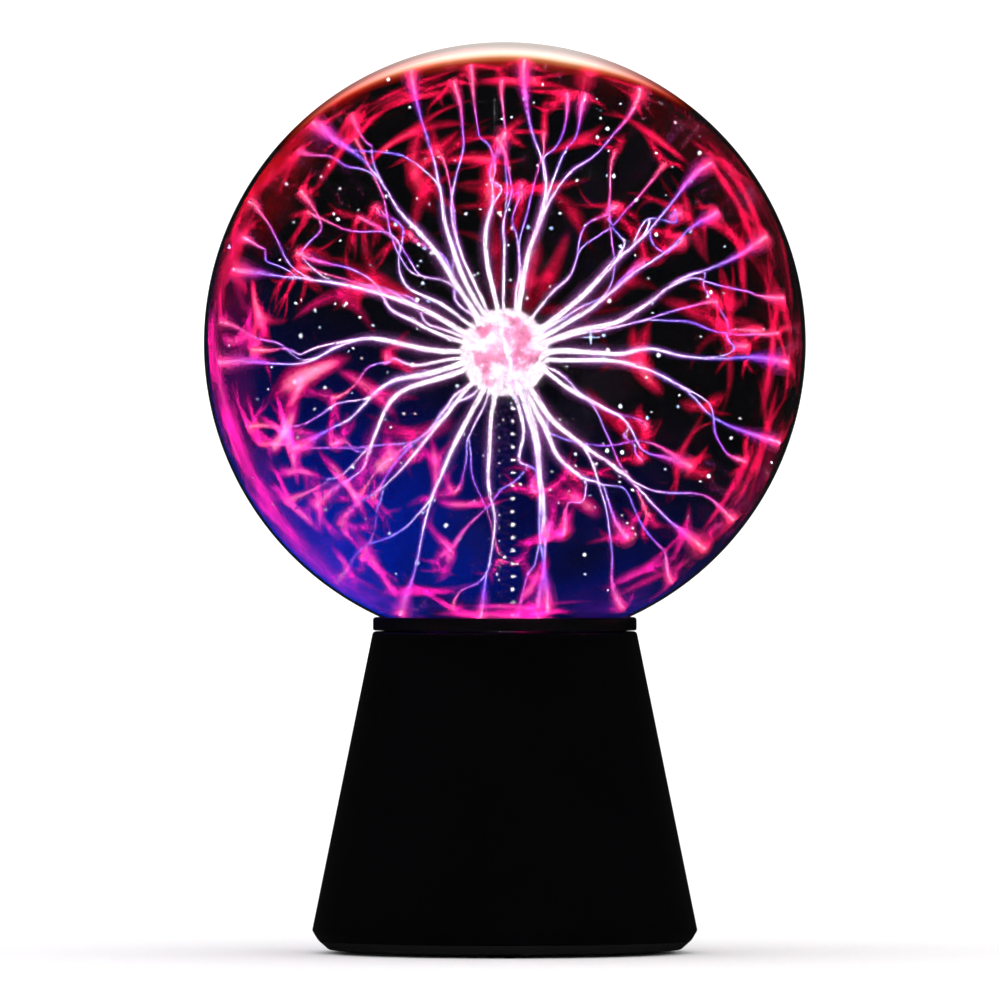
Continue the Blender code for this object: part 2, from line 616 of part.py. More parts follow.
def main():
    for old in list(bpy.data.objects):
        bpy.data.objects.remove(old)
    finishes = {
        "globe": material("clear_glass", (0.85, 0.86, 0.95), 0.03, alpha=0.3),
        "stem": material("stem_glass", (0.85, 0.80, 0.95), 0.05, alpha=0.4),
        "wool": material("electrode_wool", (1.0, 0.72, 0.85), 0.6, emission=2.0),
        "gloss": material("black_gloss_plastic", (0.006, 0.006, 0.008), 0.22),
        "black_matte": material("black_matte_plastic", (0.012, 0.012, 0.013), 0.55),
        "knob": material("knob_plastic", (0.03, 0.03, 0.032), 0.4),
        "rubber": material("black_rubber", (0.015, 0.015, 0.015), 0.8),
        "foam": material("grey_foam", (0.16, 0.16, 0.17), 0.95),
        "silicone": material("white_silicone", (0.75, 0.74, 0.70), 0.5),
        "red_silicone": material("red_silicone", (0.55, 0.03, 0.02), 0.45),
        "board": material("circuit_board", (0.02, 0.17, 0.06), 0.45),
        "ferrite": material("ferrite", (0.05, 0.05, 0.055), 0.7),
        "copper": material("copper_winding", (0.72, 0.34, 0.14), 0.35, 1.0),
        "epoxy": material("potting_epoxy", (0.03, 0.05, 0.10), 0.35),
        "sleeve": material("capacitor_sleeve", (0.02, 0.03, 0.09), 0.3),
        "film": material("film_capacitor", (0.52, 0.10, 0.03), 0.35),
        "aluminium": material("aluminium", (0.78, 0.79, 0.80), 0.35, 1.0),
        "brass": material("brass", (0.78, 0.57, 0.22), 0.3, 1.0),
        "steel": material("steel", (0.62, 0.62, 0.64), 0.3, 1.0),
        "zinc": material("zinc_plate", (0.66, 0.66, 0.67), 0.4, 1.0),
        "screw": material("screw_steel", (0.45, 0.45, 0.47), 0.35, 1.0),
    }
    globe_glass(finishes["globe"])
    stem_glass(finishes["stem"])
    exhaust_tip(finishes["stem"])
    high_voltage_feed(finishes)
    seat_ring(finishes["rubber"])
    base_shell(finishes["gloss"])
    bottom_cover(finishes["black_matte"])
    feet_and_cover_screws(finishes)
    neck_mounting(finishes)
    control_panel(finishes["black_matte"])
    power_inlet(finishes)
    mode_switch(finishes)
    sensitivity_dial(finishes)
    microphone(finishes["zinc"])
    circuit_board(finishes)
    transformer(finishes)
    output_stage(finishes)
    small_parts(finishes)
    panel_leads(finishes)


main()
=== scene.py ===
"""The plasma ball's visual model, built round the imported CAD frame.

Shapes are worked out in millimetres in the CAD frame (+Z up, front towards -Y) and stored in metres.
"""

import math
import random

import bmesh
import bpy
from mathutils import Matrix, Vector, noise


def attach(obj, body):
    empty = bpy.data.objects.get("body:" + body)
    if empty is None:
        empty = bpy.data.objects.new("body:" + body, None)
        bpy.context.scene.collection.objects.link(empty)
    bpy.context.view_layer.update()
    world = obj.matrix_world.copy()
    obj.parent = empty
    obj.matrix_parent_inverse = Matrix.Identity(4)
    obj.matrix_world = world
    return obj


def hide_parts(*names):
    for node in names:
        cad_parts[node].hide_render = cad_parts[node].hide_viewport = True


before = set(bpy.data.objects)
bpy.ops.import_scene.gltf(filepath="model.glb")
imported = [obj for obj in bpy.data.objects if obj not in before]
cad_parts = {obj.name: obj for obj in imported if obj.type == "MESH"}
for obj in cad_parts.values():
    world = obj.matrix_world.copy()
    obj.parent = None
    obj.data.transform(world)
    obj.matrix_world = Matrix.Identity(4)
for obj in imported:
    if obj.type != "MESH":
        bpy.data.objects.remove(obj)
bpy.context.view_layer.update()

MM = 0.001
GAP = 0.3
DEEPEST = 99.1  # how far out from the globe's middle its light reaches
NEAREST = 86.0  # how near to the globe's middle a flame may drift

# Driving sizes, the same as the CAD's
GLOBE = Vector((0.0, 0.0, 202.3))
GLOBE_R, GLOBE_WALL = 100.0, 2.0
BULB = Vector((0.0, 0.0, 199.1))
BULB_R, STEM_R, STEM_WALL = 14.7, 11.0, 1.2
NECK_R, NECK_FILLET, NECK_BOTTOM = 24.0, 6.0, 78.0
FLARE_R, FLARE_Z = 14.0, 92.0
SEAM_Z, WIDEST_Z, WIDEST_R = 4.0, 7.3, 64.0
SHELL_TOP_Z, SHELL_TOP_R, SHELL_WALL = 106.6, 43.8, 2.5
SEAM_R, COVER_R, RIM_R, MOUTH_R, FLANGE = 62.0, 58.9, 59.8, 31.0, 3.0
SEAT_TOP_Z, SEAT_INNER_R = 111.3, 33.0
PANEL_HALF, PANEL_LOW, PANEL_HIGH, PANEL_FACE_Y = 27.0, 11.0, 37.0, 50.0
CONTROL_Z, JACK_X, KNOB_X = 24.0, -16.0, 17.0
SPRING_R, SPRING_WIRE, SPRING_PITCH = 2.6, 0.45, 4.3
SPRING_LOW, SPRING_HIGH = 99.0 + SPRING_WIRE, BULB.z - 13.6 - SPRING_WIRE
BALL_R = 14.5  # the ball of light, which all but fills its bulb
STANDOFFS = [(31.0, -25.0), (-31.0, -25.0), (31.0, 19.0), (-31.0, 19.0)]

# The share of light that one face of the globe's glass lets through: the glass is made nearly black, painted
# darkness laid over what clear glass would show behind it
FACE_CLEAR = 0.19
LIFT = 1.0 / FACE_CLEAR ** 2  # what a light inside the globe is multiplied by, to be seen at its own value

GAS_SEED, SWAY_SEED = 11, 2


# ---- mesh helpers


def add_object(name, data):
    made = bpy.data.objects.new(name, data)
    bpy.context.scene.collection.objects.link(made)
    return made


def to_object(name, edit, look=None, sharp_degrees=32.0):
    bmesh.ops.recalc_face_normals(edit, faces=edit.faces)
    bmesh.ops.scale(edit, vec=(MM, MM, MM), verts=edit.verts)
    mesh = bpy.data.meshes.new(name)
    edit.to_mesh(mesh)
    edit.free()
    mesh.shade_smooth()
    mesh.set_sharp_from_angle(angle=math.radians(sharp_degrees))
    if look is not None:
        mesh.materials.append(look)
    return add_object(name, mesh)


def painted_mesh(name, points, faces, values, look):
    """A smooth mesh with one number of each kind at every point."""
    mesh = bpy.data.meshes.new(name)
    mesh.from_pydata(points, [], faces)
    for key, numbers in values.items():
        mesh.attributes.new(key, "FLOAT", "POINT").data.foreach_set("value", numbers)
    mesh.shade_smooth()
    mesh.materials.append(look)
    return add_object(name, mesh)


def quads(near, far, closed=True):
    """The faces between two rows of points."""
    count = len(near)
    steps = range(count if closed else count - 1)
    return [(near[k], near[(k + 1) % count], far[(k + 1) % count], far[k]) for k in steps]


def arc(centre, radius, start, end, steps):
    angles = [math.radians(start + (end - start) * i / steps) for i in range(steps + 1)]
    return [(centre[0] + radius * math.cos(a), centre[1] + radius * math.sin(a)) for a in angles]


def lathe(name, profile, look=None, steps=160, closed=False, axis="Z", at=(0.0, 0.0, 0.0)):
    """Turns a profile of (radius, height) points round an axis. A closed one's last point joins its first."""
    edit = bmesh.new()
    points = [edit.verts.new((r, 0.0, z)) for r, z in profile]
    ends = zip(points, points[1:] + points[:1]) if closed else zip(points, points[1:])
    edges = [edit.edges.new(pair) for pair in ends]
    bmesh.ops.spin(
        edit, geom=points + edges, cent=(0, 0, 0), axis=(0, 0, 1), angle=math.tau, steps=steps,
        use_merge=True, use_duplicate=False,
    )
    bmesh.ops.remove_doubles(edit, verts=edit.verts, dist=0.0005)
    turn = {"Z": Matrix(), "Y": Matrix.Rotation(math.radians(-90), 4, "X")}[axis]
    edit.transform(Matrix.Translation(at) @ turn)
    return to_object(name, edit, look)


def pegs(radius, low, high, places, steps=48):
    """A round bar at each of the places."""
    profile = [(0, low), (radius, low), (radius, high), (0, high)]
    return [lathe("tool", profile, steps=steps, at=(x, y, 0)) for x, y in places]


def box(low, high):
    edit = bmesh.new()
    bmesh.ops.create_cube(edit, size=1.0)
    size, middle = Vector(high) - Vector(low), (Vector(high) + Vector(low)) / 2
    edit.transform(Matrix.Translation(middle) @ Matrix.Diagonal((*size, 1.0)))
    return to_object("tool", edit)


def freeze(target):
    """Applies the target's modifiers."""
    bpy.context.view_layer.update()
    graph = bpy.context.evaluated_depsgraph_get()
    mesh = bpy.data.meshes.new_from_object(target.evaluated_get(graph))
    target.modifiers.clear()
    mesh.name = target.name
    target.data = mesh
    return target


def boolean(target, others, operation):
    for other in others:
        step = target.modifiers.new(operation, "BOOLEAN")
        step.operation = operation
        step.object = other
        step.solver = "EXACT"
    freeze(target)
    for other in others:
        bpy.data.objects.remove(other)
    return target


def cut(target, *others):
    return boolean(target, others, "DIFFERENCE")


def join(target, *others):
    return boolean(target, others, "UNION")


def soften(target, width, angle=35.0):
    """Rounds the piece's sharp edges."""
    step = target.modifiers.new("soften", "BEVEL")
    step.width = width * MM
    step.segments = 2
    step.limit_method = "ANGLE"
    step.angle_limit = math.radians(angle)
    step.use_clamp_overlap = True
    level = target.modifiers.new("level", "WEIGHTED_NORMAL")  # keeps the large faces' shading flat
    level.weight = 80
    return target


def shell_radius(z):
    return WIDEST_R - (z - WIDEST_Z) * (WIDEST_R - SHELL_TOP_R) / (SHELL_TOP_Z - WIDEST_Z)


def round_the(circle_r, count, first_degrees):
    angles = [math.radians(first_degrees + 360 * i / count) for i in range(count)]
    return [(circle_r * math.cos(a), circle_r * math.sin(a)) for a in angles]


BOSSES, FEET, CLAMPS = round_the(51.0, 4, 45), round_the(46.0, 4, 0), round_the(34.5, 3, 90)


# ---- material helpers


class Look:
    """A node material being made. Sockets that are the same all over are set on the shader itself."""

    def __init__(self, name, **sockets):
        self.material = bpy.data.materials.new(name)
        self.material.use_nodes = True
        self.nodes = self.material.node_tree.nodes
        self.links = self.material.node_tree.links
        self.shader = self.nodes["Principled BSDF"]
        for socket, value in sockets.items():
            self.set(socket.replace("_", " "), value)

    def set(self, socket, value):
        if isinstance(value, tuple) and len(value) == 3:
            value = (*value, 1.0)
        self.shader.inputs[socket].default_value = value

    def feed(self, socket, value):
        """Links a node's socket to another's output, or sets its value."""
        if isinstance(value, bpy.types.NodeSocket):
            self.links.new(value, socket)
        else:
            socket.default_value = value

    def node(self, kind, inputs=None, **settings):
        made = self.nodes.new("ShaderNode" + kind)
        for key, value in settings.items():
            setattr(made, key, value)
        for socket, value in (inputs or {}).items():
            self.feed(made.inputs[socket], value)
        return made

    def place(self, scale=(1.0, 1.0, 1.0)):
        """The object's own coordinates, stretched."""
        where = self.node("TexCoord").outputs["Object"]
        return self.node("Mapping", {"Vector": where, "Scale": scale}).outputs["Vector"]

    def axes(self):
        """The object's own coordinates, one by one."""
        return self.node("SeparateXYZ", {"Vector": self.place()}).outputs

    def noise(self, scale, detail=3.0, rough=0.5, where=None):
        inputs = {"Vector": where or self.place(), "Scale": scale, "Detail": detail, "Roughness": rough}
        return self.node("TexNoise", inputs).outputs["Fac"]

    def ramp(self, fac, stops):
        made = self.node("ValToRGB", {"Fac": fac})
        band = made.color_ramp
        while len(band.elements) < len(stops):
            band.elements.new(1.0)
        for element, (at, colour) in zip(band.elements, stops):
            element.position = at
            element.color = (*colour, 1.0) if len(colour) == 3 else colour
        return made.outputs["Color"]

    def remap(self, value, low, high, to_low=0.0, to_high=1.0):
        inputs = {"Value": value, "From Min": low, "From Max": high, "To Min": to_low, "To Max": to_high}
        return self.node("MapRange", inputs).outputs["Result"]

    def math(self, operation, a, b=0.0, c=0.0):
        made = self.node("Math", operation=operation)
        for socket, value in zip(made.inputs, (a, b, c)):
            self.feed(socket, value)
        return made.outputs[0]

    def times(self, first, *others):
        for other in others:
            first = self.math("MULTIPLY", first, other)
        return first

    def attribute(self, name):
        return self.node("Attribute", attribute_name=name).outputs["Fac"]

    def mix(self, fac, a, b, blend="MIX"):
        made = self.node("Mix", data_type="RGBA", blend_type=blend)
        for socket, value in ((0, fac), (6, a), (7, b)):
            self.feed(made.inputs[socket], (*value, 1.0) if isinstance(value, tuple) else value)
        return made.outputs[2]

    def bump(self, height, strength, distance_mm):
        inputs = {"Height": height, "Strength": strength, "Distance": distance_mm * MM}
        self.to("Normal", self.node("Bump", inputs).outputs["Normal"])

    def to(self, socket, value):
        self.links.new(value, self.shader.inputs[socket])

    def unsampled(self):
        """The material, kept out of the lamps that the renderer aims rays at."""
        self.material.cycles.emission_sampling = "NONE"
        return self.material


def light_only(name, **sockets):
    """A look with no surface of its own, for what is only seen by the light it gives."""
    return Look(name, Base_Color=(0.0, 0.0, 0.0), Specular_IOR_Level=0.0, **sockets)


def tinted(colour, gain):
    return tuple(min(1.0, c * gain) for c in colour)


def moulded(name, colour, roughness=0.45, grain=0.06, wear=0.12, **sockets):
    """Moulded plastic: a spark-eroded grain, slight colour drift and a polish that varies."""
    look = Look(name, **sockets)
    drift = look.noise(26.0, 4.0)
    fine = look.noise(2600.0, 2.0)
    look.to("Base Color", look.ramp(drift, [(0.3, tinted(colour, 0.88)), (0.7, tinted(colour, 1.12))]))
    rubbed = look.remap(drift, 0.3, 0.7, -wear / 2, wear / 2)
    polish = look.math("ADD", rubbed, look.remap(fine, 0.3, 0.7, -0.03, 0.03))
    look.to("Roughness", look.math("ADD", polish, roughness))
    look.bump(fine, grain * 2, 0.05)
    return look.material


def metal(name, colour, roughness):
    """Worked metal with fine lines along one way, and a few duller patches."""
    look = Look(name, Metallic=1.0)
    lines = look.noise(1500.0, 3.0, where=look.place((1.0, 1.0, 0.04)))
    patches = look.noise(120.0, 4.0)
    look.to("Base Color", look.ramp(patches, [(0.3, tinted(colour, 0.78)), (0.65, colour)]))
    look.to("Roughness", look.math("ADD", look.remap(lines, 0.3, 0.7, -0.08, 0.1), roughness))
    look.bump(lines, 0.12, 0.03)
    return look.material


def soft_rubber(name, colour, roughness=0.75):
    look = Look(name, Specular_IOR_Level=0.35)
    dust, pores = look.noise(60.0, 5.0), look.noise(1800.0, 2.0)
    look.to("Base Color", look.ramp(dust, [(0.35, colour), (0.75, tinted(colour, 1.7))]))
    look.to("Roughness", look.remap(dust, 0.3, 0.7, roughness - 0.08, roughness + 0.1))
    look.bump(pores, 0.18, 0.08)
    return look.material


def foam(name, colour):
    look = Look(name, Roughness=0.95, Specular_IOR_Level=0.2)
    cells = look.node("TexVoronoi", {"Vector": look.place(), "Scale": 900.0}).outputs["Distance"]
    # The pores are darker at their middles, where the bump sinks them: painted shade in the foam's pores
    look.to("Base Color", look.ramp(cells, [(0.05, tinted(colour, 0.45)), (0.5, colour)]))
    look.bump(cells, 0.6, 0.25)
    return look.material


def circuit_look():
    """Green solder mask over copper tracks, with tinned pads and a white component outline here and there."""
    look = Look("solder_mask", Specular_IOR_Level=0.5)
    where = look.place((1.0, 1.0, 0.0))
    bricks = look.node(
        "TexBrick",
        {
            "Vector": where, "Scale": 210.0, "Mortar Size": 0.11,
            "Brick Width": 0.8, "Row Height": 0.33, "Bias": 0.2,
        },
        offset=0.37,
    )
    tracks = look.math("SUBTRACT", 1.0, bricks.outputs["Fac"])
    cells = look.node("TexVoronoi", {"Vector": where, "Scale": 240.0, "Randomness": 0.4}).outputs["Distance"]
    pads = look.remap(cells, 0.12, 0.10)
    mask = look.mix(look.times(tracks, 0.8), (0.01, 0.11, 0.035), (0.025, 0.24, 0.07))
    look.to("Base Color", look.mix(pads, mask, (0.70, 0.70, 0.68)))
    look.to("Metallic", pads)
    look.to("Roughness", look.remap(look.noise(300.0), 0.3, 0.7, 0.3, 0.42))
    look.bump(look.math("ADD", tracks, pads), 0.4, 0.06)
    return look.material


def winding_look(name, dark, light, turns_per_m, **sockets):
    """Enamelled wire wound in even turns."""
    look = Look(name, **sockets)
    wave = look.node(
        "TexWave", {"Vector": look.place(), "Scale": turns_per_m, "Distortion": 0.4, "Detail": 1.0},
        wave_type="BANDS", bands_direction="Z", wave_profile="SIN",
    ).outputs["Fac"]
    shade = look.noise(90.0, 4.0)
    look.to("Base Color", look.mix(shade, dark, light))
    look.to("Roughness", look.remap(wave, 0.0, 1.0, 0.5, 0.25))
    look.bump(wave, 0.7, 0.25)
    return look.material


def glass_look(name, dark_glass, alpha, roughness, **sockets):
    """Glass of a dark colour seen as a clear skin: what isn't reflected passes straight through its faces,
    save what its alpha covers with that colour. On the globe the alpha is high, and the dark it lays over the
    view through the glass is painted darkness.
    """
    look = Look(name, Alpha=alpha, IOR=1.5, **sockets)
    cords = look.noise(9.0, 2.0, 0.4)  # the slow thickness waves of blown glass
    look.to("Base Color", look.mix(cords, tinted(dark_glass, 0.7), dark_glass))
    look.to("Roughness", look.remap(look.noise(40.0, 3.0), 0.3, 0.8, roughness, roughness + 0.02))
    look.bump(cords, 0.25, 0.6)
    return look.unsampled()


def glow_look(name, cool, warm, strength, solid=False, hot=None):
    """Light given off by the gas, and by the painted glints. 'along' runs from the electrode to the glass,
    'warm' picks between two ranges of colour, and 'soft' fades a glow out towards its edges. 'hot' is its
    colour where densest."""
    look = light_only(name, Roughness=1.0, Emission_Strength=strength)
    along = look.attribute("along")
    waver = look.noise(55.0, 3.0)
    shifted = look.math("ADD", along, look.remap(waver, 0.3, 0.7, -0.05, 0.05))
    colour = look.mix(look.attribute("warm"), look.ramp(shifted, cool), look.ramp(shifted, warm))
    if hot:
        colour = look.mix(look.remap(look.attribute("soft"), 0.14, 0.34), colour, hot)
    look.to("Emission Color", colour)
    if not solid:
        flicker = look.remap(look.noise(90.0, 2.5, 0.5), 0.3, 0.7, 0.55, 1.25)
        look.to("Alpha", look.times(look.attribute("soft"), flicker))
    return look.unsampled()


# ---- discharge


class Strands:
    """Gathers tubes and flat ribbons of glowing gas, and the grains of the painted glints, into one mesh,
    with values that the materials read.
    """

    VALUES = ("along", "warm", "soft")

    def __init__(self):
        self.points, self.faces = [], []
        self.values = {key: [] for key in self.VALUES}

    def add(self, point, **values):
        self.points.append(point)
        for key in self.VALUES:
            self.values[key].append(values.get(key, 1.0))
        return len(self.points) - 1

    def tube(self, path, radii, sides, values):
        """values is one dict for each point of the path."""
        rings = []
        side = perpendicular(path[1] - path[0])
        for i, point in enumerate(path):
            ahead = heading_at(path, i)
            side = square_to(side, ahead)
            up = ahead.cross(side)
            ring = []
            for k in range(sides):
                a = math.tau * k / sides
                ring.append(self.add(point + (side * math.cos(a) + up * math.sin(a)) * radii[i], **values[i]))
            rings.append(ring)
        for near, far in zip(rings, rings[1:]):
            self.faces += quads(near, far)
        for ring, end in ((rings[0], 0), (rings[-1], -1)):
            tip = self.add(path[end], **values[end])
            for k in range(sides):
                here, beside = ring[k], ring[(k + 1) % sides]
                self.faces.append((here, beside, tip) if end else (beside, here, tip))

    def ribbon(self, path, widths, values):
        """Two crossed strips, brightest along their middle: one lies along the glass, one stands up."""
        across = 7
        for standing, share in ((False, 1.0), (True, 0.7)):
            rows = []
            for i, point in enumerate(path):
                out = (point - GLOBE).normalized()
                side = out if standing else out.cross(heading_at(path, i)).normalized()
                row = []
                for k in range(across):
                    u = 2 * k / (across - 1) - 1
                    spot = point + side * u * widths[i] * share
                    away = spot - GLOBE
                    if away.length > DEEPEST or not standing:
                        spot = GLOBE + away.normalized() * min(DEEPEST, (point - GLOBE).length)
                    value = dict(values[i])
                    value["soft"] = value["soft"] * share * math.cos(u * math.pi / 2) ** 2
                    row.append(self.add(spot, **value))
                rows.append(row)
            for near, far in zip(rows, rows[1:]):
                self.faces += quads(near, far, closed=False)

    def painted_glint(self, point, size, value):
        """A small eight-sided grain, of a size each way: a painted glint."""
        x, y, z = size
        ways = [Vector(way) for way in ((x, 0, 0), (0, y, 0), (-x, 0, 0), (0, -y, 0), (0, 0, z), (0, 0, -z))]
        ids = [self.add(point + way, **value) for way in ways]
        for k in range(4):
            self.faces.append((ids[k], ids[(k + 1) % 4], ids[4]))
            self.faces.append((ids[(k + 1) % 4], ids[k], ids[5]))

    def finish(self, name, look, slot="electrode_wool", *stands_for):
        points = [tuple(p * MM) for p in self.points]
        show(painted_mesh(name, points, self.faces, self.values, look), slot, *stands_for)


def perpendicular(way):
    other = Vector((0, 1, 0)) if abs(way.normalized().y) < 0.9 else Vector((1, 0, 0))
    return way.cross(other).normalized()


def square_to(way, out):
    """What is left of a direction when it may not lean along another."""
    return (way - out * way.dot(out)).normalized()


def heading_at(path, i):
    return (path[min(i + 1, len(path) - 1)] - path[max(i - 1, 0)]).normalized()


def show(piece, slot, *stands_for, body="base"):
    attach(piece, body)
    if stands_for:
        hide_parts(*stands_for)


def smooth_step(low, high, x):
    t = max(0.0, min(1.0, (x - low) / (high - low)))
    return t * t * (3 - 2 * t)


def on_glass(bearing, reach, side=-1, inset=1.2):
    """A point just inside the globe's wall. Seen from the front, it lies in the direction 'bearing' (degrees
    from +X towards +Z) at 'reach' of the globe's radius, on the near side (-1) or the far side (+1)."""
    radius = DEEPEST - inset
    b = math.radians(bearing)
    flat = min(GLOBE_R * reach, radius * 0.998)
    depth = side * math.sqrt(max(0.0, radius ** 2 - flat ** 2))
    return GLOBE + Vector((flat * math.cos(b), depth, flat * math.sin(b)))


def strand_path(start, leave, end, arrive, sway, seed):
    """A curve that leaves one way and arrives another, swaying a little as hot gas does."""
    steps = 44
    reach = (end - start).length
    a, b = start + leave * reach * 0.38, end - arrive * reach * 0.3
    path = []
    for i in range(steps + 1):
        t = i / steps
        s = 1 - t
        point = start * s ** 3 + a * 3 * s * s * t + b * 3 * s * t * t + end * t ** 3
        slow = noise.noise_vector(Vector((t * 2.4, seed * 7.31, 1.7)))
        quick = noise.noise_vector(Vector((t * 6.0, seed * 3.17, 9.2)))
        path.append(point + (slow * 1.25 + quick * 0.13) * reach * sway * math.sin(math.pi * t) ** 0.7)
    return path


# Main streamers as seen from the front: the bearings at which each leaves the electrode and lands on the
# glass, how far out it lands, on which side, how heavy it is, how white, and its branches (where along it,
# bearing, reach, side, weight)
STREAMERS = [
    (128, 131, 0.97, -1, 1.00, 1.2, [(0.62, 124, 0.90, -1, 0.6), (0.7, 137, 0.93, -1, 0.5)]),
    (117, 109, 0.95, -1, 0.85, 0.7, [(0.50, 130, 0.94, -1, 0.7)]),
    (112, 101, 0.90, 1, 0.55, 0.2, []),
    (99, 90, 0.68, -1, 0.85, 0.9, [(0.62, 97, 0.94, 1, 0.6), (0.3, 84, 0.55, 1, 0.6)]),
    (154, 165, 0.93, -1, 1.00, 1.2, [
        (0.60, 151, 0.97, -1, 0.8), (0.66, 158, 0.95, 1, 0.7), (0.5, 143, 0.86, 1, 0.6),
    ]),
    (141, 133, 0.64, 1, 0.60, 0.4, [(0.55, 146, 0.8, 1, 0.7)]),
    (166, 157, 0.74, -1, 0.65, 0.5, []),
    (178, 184, 0.95, -1, 0.95, 0.9, [(0.40, 181, 0.85, 1, 0.7), (0.55, 176, 0.94, -1, 0.7)]),
    (193, 207, 0.78, -1, 0.95, 0.9, [(0.45, 198, 0.90, 1, 0.6)]),
    (203, 221, 0.82, -1, 0.95, 0.8, [(0.45, 211, 0.66, -1, 0.7), (0.50, 216, 0.9, 1, 0.6)]),
    (222, 228, 0.82, 1, 0.75, 0.5, [(0.6, 236, 0.86, 1, 0.6)]),
    (239, 249, 0.97, -1, 0.90, 1.0, [(0.45, 235, 0.97, -1, 0.8)]),
    (258, 265, 0.92, -1, 0.80, 1.3, [(0.7, 259, 0.9, -1, 0.5)]),
    (291, 277, 0.93, -1, 1.00, 0.9, [(0.25, 282, 0.66, -1, 0.7), (0.5, 273, 0.94, -1, 0.7)]),
    (297, 302, 0.76, -1, 0.95, 0.9, [(0.35, 287, 0.66, -1, 0.7), (0.6, 305, 0.97, 1, 0.7)]),
    (306, 314, 0.95, -1, 1.00, 0.9, [(0.45, 322, 0.96, -1, 0.8), (0.32, 294, 0.97, 1, 0.7)]),
    (336, 327, 0.75, 1, 0.80, 0.6, [(0.50, 320, 0.60, 1, 0.6)]),
    (351, 340, 0.97, -1, 0.80, 0.8, [(0.5, 334, 0.90, 1, 0.6)]),
    (0, 356, 0.94, -1, 1.00, 1.0, [(0.62, 3, 0.86, 1, 0.6)]),
    (14, 22, 0.93, -1, 1.00, 1.0, [(0.50, 9, 0.93, -1, 0.8), (0.55, 0, 0.82, 1, 0.7)]),
    (22, 32, 0.84, 1, 0.85, 0.6, []),
    (34, 41, 0.90, -1, 1.00, 0.9, [
        (0.52, 37, 0.74, 1, 0.8), (0.45, 31, 0.70, 1, 0.7), (0.3, 52, 0.6, 1, 0.6),
    ]),
    (72, 86, 0.93, -1, 0.95, 0.8, [
        (0.22, 62, 0.95, -1, 0.9), (0.30, 72, 0.88, 1, 0.8), (0.4, 76, 0.84, -1, 0.6),
    ]),
]
NECK_CLEAR_Z = 125.0  # the far ones land above this, clear of the neck
FAR_STREAMERS = 15  # thinner ones towards the back and the front, where the list above leaves room
LOOSE_FLAMES = 34  # dimmer ones all round, besides the ones below
# how many painted glints stand for seeds in the glass catching the light
PAINTED_GLINT_COUNT = 270

# Painted glints on the spring: where each turn faces outwards, and the size of its glint each way
SPRING_GLINTS = [
    (0.8, -0.6, (1.2, 0.6, 0.62)), (-0.6, -0.8, (0.36, 0.36, 0.3)),
    (-0.8, 0.6, (0.3, 0.3, 0.3)), (0.6, 0.8, (0.4, 0.5, 0.4)),
]

